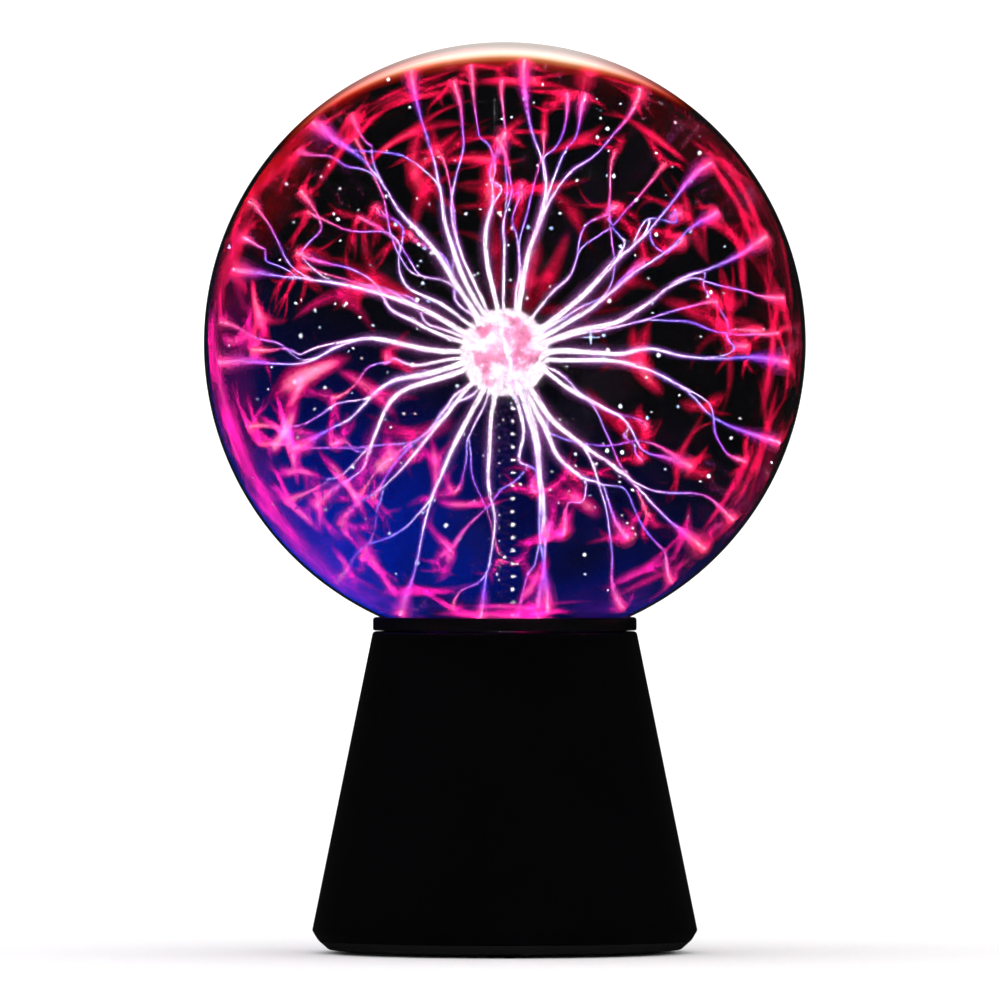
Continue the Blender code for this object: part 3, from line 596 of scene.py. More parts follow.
# The brightest flames on the front of the glass: bearing, reach, heading, length, width and brightness
FLAMES = [
    (134, 0.92, 200, 30, 2.6, 0.7), (131, 0.72, 75, 34, 2.2, 0.6), (143, 0.80, 55, 34, 2.6, 0.5),
    (150, 0.93, 245, 26, 2.6, 0.7), (165, 0.86, 300, 22, 2.4, 0.8), (170, 0.93, 100, 24, 2.2, 0.5),
    (178, 0.94, 350, 26, 2.2, 0.9), (186, 0.50, 195, 34, 3.6, 0.9), (190, 0.56, 350, 22, 2.4, 0.6),
    (194, 0.93, 265, 38, 3.8, 0.6), (206, 0.94, 280, 40, 4.0, 0.6), (214, 0.95, 110, 34, 3.0, 0.5),
    (218, 0.74, 175, 22, 2.0, 0.6), (227, 0.87, 140, 22, 2.6, 0.8), (226, 0.88, 55, 22, 2.2, 0.7),
    (229, 0.88, 290, 22, 2.4, 0.7), (224, 0.63, 30, 18, 3.2, 0.9), (246, 0.57, 340, 18, 2.0, 0.7),
    (246, 0.57, 75, 20, 1.8, 0.6), (243, 0.94, 60, 30, 3.0, 0.9), (249, 0.93, 75, 36, 3.4, 1.0),
    (255, 0.93, 55, 34, 3.2, 0.9), (262, 0.88, 40, 30, 2.4, 0.6), (273, 0.86, 80, 22, 3.0, 0.9),
    (285, 0.92, 140, 26, 2.6, 0.6), (291, 0.88, 60, 26, 2.8, 0.6), (298, 0.66, 120, 18, 2.8, 0.9),
    (305, 0.92, 100, 24, 2.4, 0.6), (316, 0.90, 80, 26, 2.8, 0.8), (322, 0.93, 70, 26, 3.0, 0.8),
    (330, 0.92, 100, 28, 2.6, 0.6), (343, 0.88, 95, 40, 2.6, 0.7), (341, 0.55, 150, 22, 3.2, 1.0),
    (341, 0.60, 330, 18, 2.6, 0.8), (350, 0.95, 90, 44, 3.0, 0.6), (356, 0.72, 60, 24, 2.2, 0.6),
    (2, 0.95, 85, 40, 2.8, 0.6), (8, 0.80, 110, 26, 2.2, 0.6), (14, 0.93, 100, 36, 2.6, 0.6),
    (17, 0.50, 350, 44, 2.8, 0.6), (22, 0.92, 70, 26, 2.4, 0.8), (28, 0.94, 120, 30, 3.2, 0.6),
    (33, 0.74, 20, 26, 2.6, 0.7), (40, 0.90, 320, 26, 2.8, 0.8), (43, 0.84, 160, 26, 2.4, 0.7),
    (50, 0.90, 330, 30, 2.8, 0.6), (58, 0.86, 75, 26, 2.0, 0.8), (62, 0.60, 210, 36, 2.4, 0.7),
    (60, 0.42, 250, 26, 2.6, 0.5), (72, 0.85, 80, 26, 3.2, 0.9), (80, 0.62, 20, 24, 2.0, 0.6),
    (93, 0.62, 265, 24, 3.2, 1.0), (97, 0.86, 15, 26, 3.0, 0.9), (99, 0.84, 170, 26, 2.4, 0.7),
    (110, 0.76, 260, 34, 3.0, 0.6), (112, 0.62, 20, 22, 2.4, 0.7), (123, 0.60, 60, 22, 2.4, 0.6),
    (120, 0.90, 350, 24, 2.0, 0.6), (132, 0.45, 95, 24, 2.2, 0.4), (152, 0.30, 175, 26, 3.0, 0.5),
    (238, 0.30, 220, 24, 3.0, 0.5), (330, 0.30, 300, 26, 3.0, 0.5), (20, 0.30, 30, 22, 2.6, 0.4),
    (146, 0.97, 230, 26, 2.8, 1.6), (158, 0.97, 250, 32, 3.0, 1.7), (171, 0.97, 265, 30, 3.2, 1.7),
    (181, 0.96, 285, 32, 3.4, 1.8), (190, 0.97, 100, 26, 3.0, 1.7), (200, 0.97, 290, 36, 3.6, 1.9),
    (210, 0.96, 120, 30, 3.2, 1.8), (219, 0.97, 310, 30, 3.4, 1.9), (228, 0.95, 140, 30, 3.0, 1.6),
    (205, 0.87, 25, 26, 2.6, 1.0), (215, 0.83, 65, 26, 2.4, 0.9), (233, 0.75, 80, 24, 2.4, 0.9),
]


class Discharge:
    """Grows the streamers and everything that glows with them."""

    def __init__(self, seed):
        self.dice = random.Random(seed)
        self.cores, self.halos, self.feet = Strands(), Strands(), Strands()
        self.count = 0

    def grow(self, start, leave, end, weight, white, begin=0.0, sway=0.075):
        self.count += 1
        out = (end - GLOBE).normalized()
        path = strand_path(start, leave, end, out, sway, self.count)
        warm = self.dice.uniform(0.0, 1.0)
        radii, values = [], []
        for i in range(len(path)):
            t = i / (len(path) - 1)
            along = begin + (1 - begin) * t
            thick = 0.26 + 0.68 * (1 - smooth_step(0.0, 0.72, along)) + 0.34 * smooth_step(0.78, 0.97, t)
            bead = 1 + 0.14 * noise.noise(Vector((t * 12, self.count * 5.1, 3.3)))
            radii.append(max(0.2, weight * thick * bead))
            values.append({"along": along ** (1.0 + white), "warm": warm})
        self.cores.tube(path, radii, 7, values)
        self.halo(path, radii, values)
        self.foot(path, weight)
        return path

    def halo(self, path, radii, values):
        last = len(path) - 1
        for grow, density in ((1.5, 0.16), (2.1, 0.09), (3.0, 0.045), (4.4, 0.02)):
            wide, soft = [], []
            for i, radius in enumerate(radii):
                t = i / last
                end = smooth_step(0.72, 1.0, t)
                wide.append(radius * grow * (1 + 0.7 * end) * (0.6 + 0.4 * min(1.0, t * 6)))
                share = 0.35 + 0.35 * smooth_step(0.1, 0.5, t) + 1.2 * end
                soft.append({**values[i], "soft": density * share})
            self.halos.tube(path, wide, 8, soft)

    def foot(self, path, weight):
        """Where a streamer meets the glass it spreads over it in flames, mostly onwards."""
        end = path[-1]
        out = (end - GLOBE).normalized()
        onwards = square_to(path[-1] - path[-7], out)
        for turn in self.dice.choice(((-50, 25), (-30, 40), (-75, 5, 60), (-25, 45), (-5, 70))):
            way = Matrix.Rotation(math.radians(turn + self.dice.uniform(-15, 15)), 3, out) @ onwards
            length = self.dice.uniform(9, 21)
            width = self.dice.uniform(2.3, 3.8) * (0.6 + 0.5 * weight)
            self.flame(end, way, length, width, 0.62, warmth(end), rooted=True)

    def flame(self, start, way, length, width, bright, warm, rooted=False, forks=True):
        """A soft tongue of light that follows the inside of the glass, and may fork."""
        dice = self.dice
        curl = dice.uniform(-1.3, 1.3)
        steps, fork_at = 14, 6
        radius = (start - GLOBE).length
        drift = dice.uniform(-3.0, 3.0)
        phase = dice.uniform(0, 50)
        point, heading = start.copy(), way.normalized()
        path, widths, values = [], [], []
        for i in range(steps + 1):
            t = i / steps
            path.append(point.copy())
            swell = (1 - t) ** 0.55 + 0.1 if rooted else math.sin(math.pi * (0.08 + 0.87 * t)) ** 0.7
            widths.append(width * swell * (1 + 0.45 * noise.noise(Vector((t * 4, phase, 0.5)))))
            free = smooth_step(0.0, 0.3, t) * (1 - smooth_step(0.5, 1.0, t) ** 1.5)
            fade = (1 - t) ** 1.1 if rooted else free
            fade *= 1 + 0.5 * noise.noise(Vector((t * 5, phase, 7.5)))
            fade *= 0.38 + 0.62 * smooth_step(8, 48, abs(point.y))  # there's less of it towards the sides
            values.append({"along": t, "warm": warm, "soft": (0.4 - 0.1 * warm) * bright * fade})
            out = (point - GLOBE).normalized()
            heading = Matrix.Rotation(curl / steps, 3, out) @ square_to(heading, out)
            radius = min(DEEPEST - 0.4, max(NEAREST, radius + drift / steps))
            point = GLOBE + (point + heading * length / steps - GLOBE).normalized() * radius
            if forks and i == fork_at:
                for turn in dice.choice(((28,), (-28,), (34, -30))):
                    branch = Matrix.Rotation(math.radians(turn + dice.uniform(-8, 8)), 3, out) @ heading
                    rest, thin, dim = length * 0.6, widths[-1] * 0.75, bright * fade * 0.9
                    self.flame(point, branch, rest, thin, dim, warm, rooted=True, forks=False)
        self.feet.ribbon(path, widths, values)


def lean(bearing, depth):
    """A direction: its bearing as seen from the front, and how much it leans back (+) or out (-)."""
    b = math.radians(bearing)
    flat = math.sqrt(1 - depth * depth)
    return Vector((math.cos(b) * flat, depth, math.sin(b) * flat))


def warmth(point):
    """Crimson, but magenta low down on the side where the blue shows through."""
    return smooth_step(140, 195, point.z + 0.55 * point.x)


def grow_streamers(gas):
    dice = gas.dice
    for leave, arrive, reach, side, weight, white, branches in STREAMERS:
        way = lean(leave, 0.10 if side < 0 else 0.3)
        path = gas.grow(BULB + way * (BULB_R - 0.4), way, on_glass(arrive, reach, side), weight, white)
        for at, bearing, out, back, share in branches:
            i = int(at * (len(path) - 1))
            end = on_glass(bearing, out, back)
            gas.grow(path[i], heading_at(path, i), end, weight * share, white * 0.6, begin=at, sway=0.09)
    start = BULB + lean(100, -0.8) * (BULB_R - 0.2)  # one runs down over the front of the ball
    gas.grow(start, lean(288, -0.45), on_glass(279, 0.90), 0.9, 1.0, sway=0.05)
    for i in range(FAR_STREAMERS):
        side = 1 if i % 4 else -1
        bearing = 360 * i / FAR_STREAMERS + dice.uniform(-14, 14)
        reach = dice.uniform(0.3, 0.72)
        end = on_glass(bearing, reach, side)
        if end.z < NECK_CLEAR_Z:
            end = on_glass(bearing, reach * 0.7, side)
        way = (end - BULB).normalized() if side > 0 else lean(bearing, -0.3)
        path = gas.grow(BULB + way * (BULB_R - 0.4), way, end, dice.uniform(0.45, 0.65), 0.1, sway=0.07)
        i = int(len(path) * 0.5)
        turn = on_glass(bearing + dice.uniform(-30, 30), min(0.9, reach + 0.2), side)
        gas.grow(path[i], heading_at(path, i), turn, 0.4, 0.0, begin=0.5, sway=0.08)


def light_flames(gas):
    dice = gas.dice
    for bearing, reach, heading, length, width, bright in FLAMES:
        start = on_glass(bearing, reach, inset=dice.uniform(0.2, 3.0))
        h = math.radians(heading)
        way = square_to(Vector((math.cos(h), 0.0, math.sin(h))), (start - GLOBE).normalized())
        bright *= 0.72 - 0.3 * smooth_step(0.88, 0.96, reach)
        bright *= 1 + 0.45 * max(0.0, -math.cos(math.radians(bearing)))
        gas.flame(start, way, length * 1.3, width * 1.35, bright, warmth(start))
    for _ in range(LOOSE_FLAMES):
        z = dice.uniform(-0.9, 0.8)
        turn = dice.uniform(0, math.tau)
        flat = math.sqrt(1 - z * z)
        out = Vector((flat * math.cos(turn), flat * math.sin(turn), z))
        if out.y < -0.55 and dice.random() < 0.5:
            continue
        start = GLOBE + out * (DEEPEST - dice.uniform(0.2, 6.0))
        side = perpendicular(out)
        a = dice.uniform(0, math.tau)
        way = side * math.cos(a) + out.cross(side) * math.sin(a)
        bright = dice.uniform(0.08, 0.38) * (0.6 + 0.4 * smooth_step(0.2, 0.5, abs(out.y)))
        gas.flame(start, way, dice.uniform(22, 46), dice.uniform(2.2, 4.4), bright, warmth(start))


def make_discharge():
    noise.seed_set(SWAY_SEED)  # without it the vector noise differs from run to run
    gas = Discharge(GAS_SEED)
    grow_streamers(gas)
    light_flames(gas)
    hot = (1.0, 0.92, 1.0)
    cool_core = [
        (0.0, hot), (0.36, (0.98, 0.90, 1.0)), (0.56, (0.52, 0.40, 1.0)), (0.76, (0.28, 0.16, 1.0)),
        (0.9, (0.85, 0.25, 0.75)), (1.0, (1.0, 0.50, 0.74)),
    ]
    warm_core = [
        (0.0, hot), (0.40, (1.0, 0.86, 1.0)), (0.60, (0.80, 0.55, 1.0)), (0.74, (0.62, 0.26, 0.95)),
        (0.86, (1.0, 0.25, 0.52)), (1.0, (1.0, 0.56, 0.68)),
    ]
    cool_halo = [
        (0.0, (0.80, 0.30, 1.0)), (0.25, (0.45, 0.16, 1.0)), (0.6, (0.10, 0.05, 1.0)),
        (0.82, (0.45, 0.03, 0.6)), (1.0, (1.0, 0.04, 0.20)),
    ]
    warm_halo = [
        (0.0, (0.95, 0.25, 0.80)), (0.3, (0.70, 0.14, 0.85)), (0.6, (0.30, 0.05, 0.95)),
        (0.78, (0.85, 0.03, 0.33)), (1.0, (1.0, 0.035, 0.13)),
    ]
    magenta = [(0.0, (0.92, 0.012, 0.34)), (1.0, (0.80, 0.003, 0.24))]
    red = [(0.0, (1.0, 0.008, 0.085)), (1.0, (0.85, 0.001, 0.045))]
    core_look = glow_look("streamer_light", cool_core, warm_core, 1.25 * LIFT, solid=True)
    flame_look = glow_look("flame_light", magenta, red, 4.2 * LIFT, hot=(1.0, 0.20, 0.34))
    gas.cores.finish("streamer_cores", core_look)
    gas.halos.finish("streamer_halos", glow_look("halo_light", cool_halo, warm_halo, 1.7 * LIFT))
    gas.feet.finish("glass_flames", flame_look)
    make_painted_glints(gas.dice)


def make_painted_glints(dice):
    """Painted glints: small glowing grains for seeds in the glass that catch the light as points, for a star
    of light and for the turns of the feed spring.
    """
    glint_mesh = Strands()
    farthest, nearest, lowest = 97.5, 20, 118
    for _ in range(PAINTED_GLINT_COUNT):
        out = Vector((dice.gauss(0, 1), dice.gauss(0, 1), dice.gauss(0, 1))).normalized()
        point = GLOBE + out * farthest * dice.random() ** 0.4
        if point.z < lowest or (point - BULB).length < nearest:
            continue
        size = 0.40 + 0.45 * dice.random() ** 3
        glint_mesh.painted_glint(point, (size, size, size), {"along": dice.random(), "warm": 0.0})
    # A painted star-shaped glint: a bright grain with long crossed rays
    star = Vector((28.2, -60.0, 203.5))
    for size in ((1.1, 1.1, 1.1), (3.4, 0.35, 0.35), (0.35, 0.35, 3.4), (0.35, 3.4, 0.35)):
        glint_mesh.painted_glint(star, size, {"along": 0.1, "warm": 0.0})
    # The spring's painted glints: a small glowing grain on each turn, at each place in SPRING_GLINTS
    reach = SPRING_R + SPRING_WIRE
    for turn in range(int((SPRING_HIGH - SPRING_LOW) / SPRING_PITCH)):
        for x, y, size in SPRING_GLINTS:
            rise = SPRING_PITCH * (turn + (math.atan2(y, x) % math.tau) / math.tau)
            glint_mesh.painted_glint(Vector((x * reach, y * reach, SPRING_LOW + rise)), size, {"along": 0.8, "warm": 0.0})
    stops = [(0.0, (0.35, 0.55, 1.0)), (0.4, (0.85, 0.95, 1.0)), (1.0, (1.0, 0.92, 1.0))]
    glint_mesh.finish("painted_glints", glow_look("painted_glint_light", stops, stops, 1.6 * LIFT, solid=True))


def make_electrode():
    """The bright ball: white with rose patches, and a thin bloom of light round it. It fills its glass bulb,
    as the thick glass makes it look."""
    edit = bmesh.new()
    bmesh.ops.create_icosphere(edit, subdivisions=6, radius=1.0)
    for v in edit.verts:
        way = v.co.normalized()
        v.co = BULB + way * (BALL_R + 0.08 * noise.fractal(way * 2.4, 0.7, 2.1, 3))
    look = Look("electrode_light", Roughness=0.9, Specular_IOR_Level=0.0, Emission_Strength=LIFT)
    look.set("Base Color", (0.05, 0.01, 0.02))
    patches = look.noise(190.0, 3.0, 0.55)
    # Painted rim light: the ball's light is made whiter near the plane Y = 0, its edge as seen from the front
    painted_rim_light = look.remap(look.math("ABSOLUTE", look.axes()["Y"]), 0.0105, 0.0035, 0.0, 0.28)
    stops = [
        (0.37, (0.62, 0.01, 0.17)), (0.44, (0.88, 0.12, 0.34)), (0.50, (1.0, 0.46, 0.66)),
        (0.57, (1.2, 1.05, 1.2)),
    ]
    look.to("Emission Color", look.ramp(look.math("ADD", patches, painted_rim_light), stops))
    show(to_object("electrode_ball", edit, look.unsampled()), "electrode_wool", "electrode_core")
    bloom = Strands()
    steps = 40
    for radius, density in ((14.8, 0.10), (14.95, 0.06), (15.2, 0.02), (15.8, 0.008), (17.0, 0.004)):
        path = [BULB + Vector((0, 0, -radius * math.cos(math.pi * i / steps))) for i in range(1, steps)]
        radii = [radius * math.sin(math.pi * i / steps) for i in range(1, steps)]
        bloom.tube(path, radii, 48, [{"along": 0.0, "warm": 0.5, "soft": density}] * len(path))
    stops = [(0.0, (1.0, 0.70, 0.92)), (1.0, (1.0, 0.70, 0.92))]
    bloom.finish("electrode_bloom", glow_look("bloom_light", stops, stops, 2.0 * LIFT))


def make_haze():
    """The deep blue that hangs in the lower half of the globe, and a crimson mist round its sides."""
    lowest = math.degrees(math.asin(-0.955))  # where the globe narrows to its neck
    haze = light_only("haze_light", Roughness=1.0, Emission_Strength=0.6 * LIFT)
    place = haze.axes()
    height = haze.math("MULTIPLY_ADD", place["X"], 0.45, place["Z"])  # it hangs towards one side
    low = haze.remap(height, 0.214, 0.102)
    billow = haze.remap(haze.noise(13.0, 3.0), 0.35, 0.68, 0.12, 1.5)
    above_neck = haze.remap(place["Z"], 0.108, 0.114)
    haze.to("Alpha", haze.times(haze.math("POWER", low, 2.3), haze.times(billow, 0.42, above_neck)))
    haze.to("Emission Color", haze.ramp(low, [(0.0, (0.0, 0.0, 0.25)), (1.0, (0.0, 0.035, 1.0))]))
    mist = light_only("mist_light", Roughness=1.0, Emission_Strength=LIFT)
    place = mist.axes()
    band = mist.remap(mist.math("ABSOLUTE", place["Y"]), 0.052, 0.012)
    cloud = mist.remap(mist.noise(26.0, 4.0, 0.55), 0.50, 0.68, 0.0, 0.10)
    above_neck = mist.remap(place["Z"], 0.108, 0.114)
    leftward = mist.remap(place["X"], 0.0, -0.08, 0.8, 3.5)
    mist.to("Alpha", mist.times(band, cloud, mist.times(above_neck, leftward)))
    stops = [(0.0, (0.75, 0.0, 0.55)), (0.4, (1.0, 0.0, 0.12)), (1.0, (1.0, 0.0, 0.01))]
    mist.to("Emission Color", mist.ramp(mist.remap(place["Z"], 0.13, 0.25), stops))
    skins = (("gas_haze", haze, DEEPEST + 0.1, 40, 60), ("gas_mist", mist, DEEPEST - 0.4, 90, 80))
    for name, look, radius, highest, steps in skins:
        profile = arc((0, GLOBE.z), radius, lowest, highest, steps)
        show(lathe(name, profile, look.unsampled(), steps=96), "electrode_wool")


# ---- glass pieces


def make_glass():
    # The globe's outer faces are nearly opaque black: painted darkness over the view through the glass, so
    # the lights inside are seen against dark
    opacity = 1 - FACE_CLEAR ** 2
    dark_glass = glass_look("globe_painted_darkness", (0.001, 0.001, 0.0015), opacity, 0.01, Specular_IOR_Level=0.12)
    clear = glass_look("globe_lining", (0.02, 0.02, 0.03), 0.02, 0.01, Specular_IOR_Level=0.2)
    fillet_r = NECK_R + NECK_FILLET
    fillet_z = GLOBE.z - math.sqrt((GLOBE_R + NECK_FILLET) ** 2 - fillet_r ** 2)
    leave = math.degrees(math.atan2(fillet_z - GLOBE.z, fillet_r))
    back, inner = leave + 180, NECK_FILLET + GLOBE_WALL
    outside = arc((0, GLOBE.z), GLOBE_R, 90, leave, 90)
    outside += arc((fillet_r, fillet_z), NECK_FILLET, back, 180, 8)[1:]
    end = [(NECK_R, NECK_BOTTOM + 0.5), (NECK_R - 0.5, NECK_BOTTOM), (NECK_R - GLOBE_WALL, NECK_BOTTOM)]
    inside = arc((fillet_r, fillet_z), inner, 180, back, 8)
    for i in range(1, 91):  # the blown wall is thinner away from the neck
        a = math.radians(leave + (90 - leave) * i / 90)
        r = GLOBE_R - GLOBE_WALL + 1.3 * smooth_step(-1.25, -0.7, a)
        inside.append((r * math.cos(a), GLOBE.z + r * math.sin(a)))
    glass = lathe("globe", outside + end + inside, dark_glass)
    glass.data.materials.append(clear)
    for face in glass.data.polygons:
        middle = face.center / MM
        outward = middle - GLOBE if middle.z > 108 else Vector((middle.x, middle.y, 0))
        face.material_index = 1 if face.normal.dot(outward) < 0 else 0
    show(glass, "globe_glass", "globe_glass")

    stem = glass_look("stem_tint", (0.01, 0.005, 0.016), 0.05, 0.03, Specular_IOR_Level=0.04)
    joint = math.degrees(math.asin(STEM_R / BULB_R))
    inner_bulb = BULB_R - STEM_WALL
    inner_joint = math.degrees(math.asin((STEM_R - STEM_WALL) / inner_bulb))
    flare_x, low = STEM_R + FLARE_R, NECK_BOTTOM - GAP
    profile = arc((0, BULB.z), BULB_R, 90, joint - 90, 48) + arc((flare_x, FLARE_Z), FLARE_R, 180, 245, 12)
    bore, foot = NECK_R - GLOBE_WALL, low - 1.3
    profile += [(bore - 0.4, low), (NECK_R, low), (NECK_R, foot), (bore - 1.4, foot)]
    profile += arc((flare_x, FLARE_Z), FLARE_R + STEM_WALL, 245, 180, 12)
    profile += arc((0, BULB.z), inner_bulb, inner_joint - 90, 90, 44)
    tube = lathe("stem_tube", profile, stem, steps=96)
    show(tube, "stem_glass", "stem_glass")
    top = foot - GAP
    nib = [(0, top), (1.6, top), (1.6, top - 8), (1.45, top - 9.5), (1.0, top - 11.5), (0.5, top - 12.6)]
    nib += [(0, top - 13)]
    tip = lathe("pump_tip", nib, stem, steps=40, at=(1.8 - NECK_R, 0, 0))
    show(tip, "stem_glass", "exhaust_tip")
    make_spring()


def make_spring():
    """The feed spring, of dark wire with a faint violet glow painted on it: painted light standing for the
    discharge's light falling on the wire.
    """
    per_turn, length = 28, SPRING_HIGH - SPRING_LOW
    count = int(length / SPRING_PITCH * per_turn)
    spring = Strands()
    path = []
    for i in range(count + 1):
        a = math.tau * i / per_turn
        path.append(Vector((math.cos(a) * SPRING_R, math.sin(a) * SPRING_R, SPRING_LOW + length * i / count)))
    spring.tube(path, [SPRING_WIRE] * len(path), 10, [{"along": i / count} for i in range(count + 1)])
    # The emission colour is painted light: the discharge's violet light falling on the wire, given to the
    # wire as a glow of its own
    look = Look("spring_wire_painted_light", Metallic=1.0, Roughness=0.25, Emission_Strength=0.3 * LIFT)
    for socket, scale, dark, light in (
        ("Base Color", 200.0, (0.030, 0.028, 0.034), (0.05, 0.048, 0.055)),
        ("Emission Color", 300.0, (0.02, 0.01, 0.08), (0.06, 0.03, 0.14)),
    ):
        look.to(socket, look.ramp(look.noise(scale), [(0.3, dark), (0.7, light)]))
    spring.finish("feed_spring", look.unsampled(), "steel", "hv_spring")


# ---- base pieces


def true_cone(shell):
    """Shades the outer wall as a true cone, which the cuts through it would disturb."""
    mesh = freeze(shell).data
    slope = (WIDEST_R - SHELL_TOP_R) / (SHELL_TOP_Z - WIDEST_Z)
    normals = [corner.vector.copy() for corner in mesh.corner_normals]
    for face in mesh.polygons:
        for corner in face.loop_indices:
            x, y, z = mesh.vertices[mesh.loops[corner].vertex_index].co / MM
            reach = math.hypot(x, y)
            out = Vector((x, y, reach * slope)).normalized()
            if abs(reach - shell_radius(z)) < 0.05 and face.normal.dot(out) > 0.97:
                normals[corner] = out
    mesh.normals_split_custom_set(normals)


def make_base(looks):
    flange_z = SHELL_TOP_Z - FLANGE
    profile = [
        (SEAM_R + 0.2, SEAM_Z + GAP), (WIDEST_R - 0.25, WIDEST_Z - 0.45), (WIDEST_R - 0.04, WIDEST_Z + 0.1),
        (shell_radius(WIDEST_Z + 0.7), WIDEST_Z + 0.7), (shell_radius(SHELL_TOP_Z - 0.8), SHELL_TOP_Z - 0.8),
        (SHELL_TOP_R - 0.2, SHELL_TOP_Z - 0.25), (SHELL_TOP_R - 0.8, SHELL_TOP_Z), (MOUTH_R, SHELL_TOP_Z),
        (MOUTH_R, flange_z), (shell_radius(flange_z) - SHELL_WALL, flange_z),
        (shell_radius(10) - SHELL_WALL, 10), (RIM_R, 10), (RIM_R, SEAM_Z + GAP),
    ]
    shell = lathe("housing", profile, looks["gloss"], steps=200, closed=True)
    join(shell, *pegs(4.2, SEAM_Z + GAP, 46, BOSSES), *pegs(3.4, 89 + GAP, flange_z + 1, CLAMPS))
    tools = pegs(1.8, SEAM_Z, 20, BOSSES, steps=24) + pegs(1.4, 88, 99, CLAMPS, steps=24)
    tools += [box((x - 1.2, 30, 50), (x + 1.2, 70, 82)) for x in range(-18, 19, 6)]
    tools += [box((-PANEL_HALF - GAP, 35, PANEL_LOW - GAP), (PANEL_HALF + GAP, 75, PANEL_HIGH + GAP))]
    cut(shell, *tools)
    soften(shell, 0.3, angle=40)
    true_cone(shell)
    show(shell, "base_gloss", "base_shell")

    seat_r, low = GLOBE_R + 0.35, SHELL_TOP_Z + GAP
    angles = [math.degrees(-math.acos(r / seat_r)) for r in (41.9, SEAT_INNER_R)]
    rim, top = SHELL_TOP_R, SEAT_TOP_Z
    edge = [(SEAT_INNER_R, low), (rim - 0.4, low), (rim, low + 0.4), (rim, top - 0.9)]
    edge += [(rim - 0.12, top - 0.5), (rim - 0.4, top - 0.15), (rim - 0.9, top)]
    edge += arc((0, GLOBE.z), seat_r, angles[0], angles[1], 12)
    seat = lathe("seat", edge, looks["rubber"], closed=True)
    show(seat, "rubber", "seat_ring")
    make_underside(looks)


def make_underside(looks):
    lip_out, lip_in, lip_top = RIM_R - 0.4, RIM_R - 3.0, 8.0
    profile = [
        (0, 1.0), (COVER_R - 0.5, 1.0), (COVER_R, 1.25), (SEAM_R, SEAM_Z), (lip_out, SEAM_Z),
        (lip_out, lip_top), (lip_in, lip_top), (lip_in, SEAM_Z), (0, SEAM_Z),
    ]
    cover = lathe("underside", profile, looks["matte"])
    join(cover, *pegs(3.0, SEAM_Z - 1, 13.7, STANDOFFS))
    tools = pegs(1.3, SEAM_Z + 2, 20, STANDOFFS, steps=24)
    for place in BOSSES:
        tools += pegs(1.8, 0, 9, [place]) + pegs(3.6, 0, 2.6, [place])
    tools += pegs(6.3, 0, 2.0, FEET, steps=64)
    tools += [box((x - 1.2, -14, 0), (x + 1.2, 14, 6)) for x in range(-16, 17, 8)]
    cut(cover, *tools)
    soften(cover, 0.25, angle=40)
    show(cover, "black_matte", "bottom_cover")
    foot = [(0, 0.18), (4.2, 0.18), (4.5, 0.0), (5.3, 0.0), (5.8, 0.25), (6.0, 0.7), (6.0, 1.7), (0, 1.7)]
    for i, (x, y) in enumerate(FEET):
        made = lathe(f"foot_pad_{i + 1}", foot, looks["rubber"], steps=64, at=(x, y, 0))
        show(made, "rubber", f"rubber_foot_{i + 1}")
    head, half, thin = 2.3, 1.8, 0.4
    screw = [(0, head - 1.2), (2.2, head - 1.15), (2.9, head - 0.8), (3.2, head - 0.2), (3.2, head)]
    screw += [(1.5, head)]
    for k in range(12):
        screw += [(1.5, head + 1 + k), (1.15, head + 1.5 + k)]
    screw += [(0, head + 14)]
    for i, (x, y) in enumerate(BOSSES):
        made = lathe(f"cover_fixing_{i + 1}", screw, looks["screw"], steps=40, at=(x, y, 0))
        slots = [box((x - a, y - b, 0), (x + a, y + b, head - 0.45)) for a, b in ((half, thin), (thin, half))]
        cut(made, *slots)
        show(made, "steel", f"cover_screw_{i + 1}")


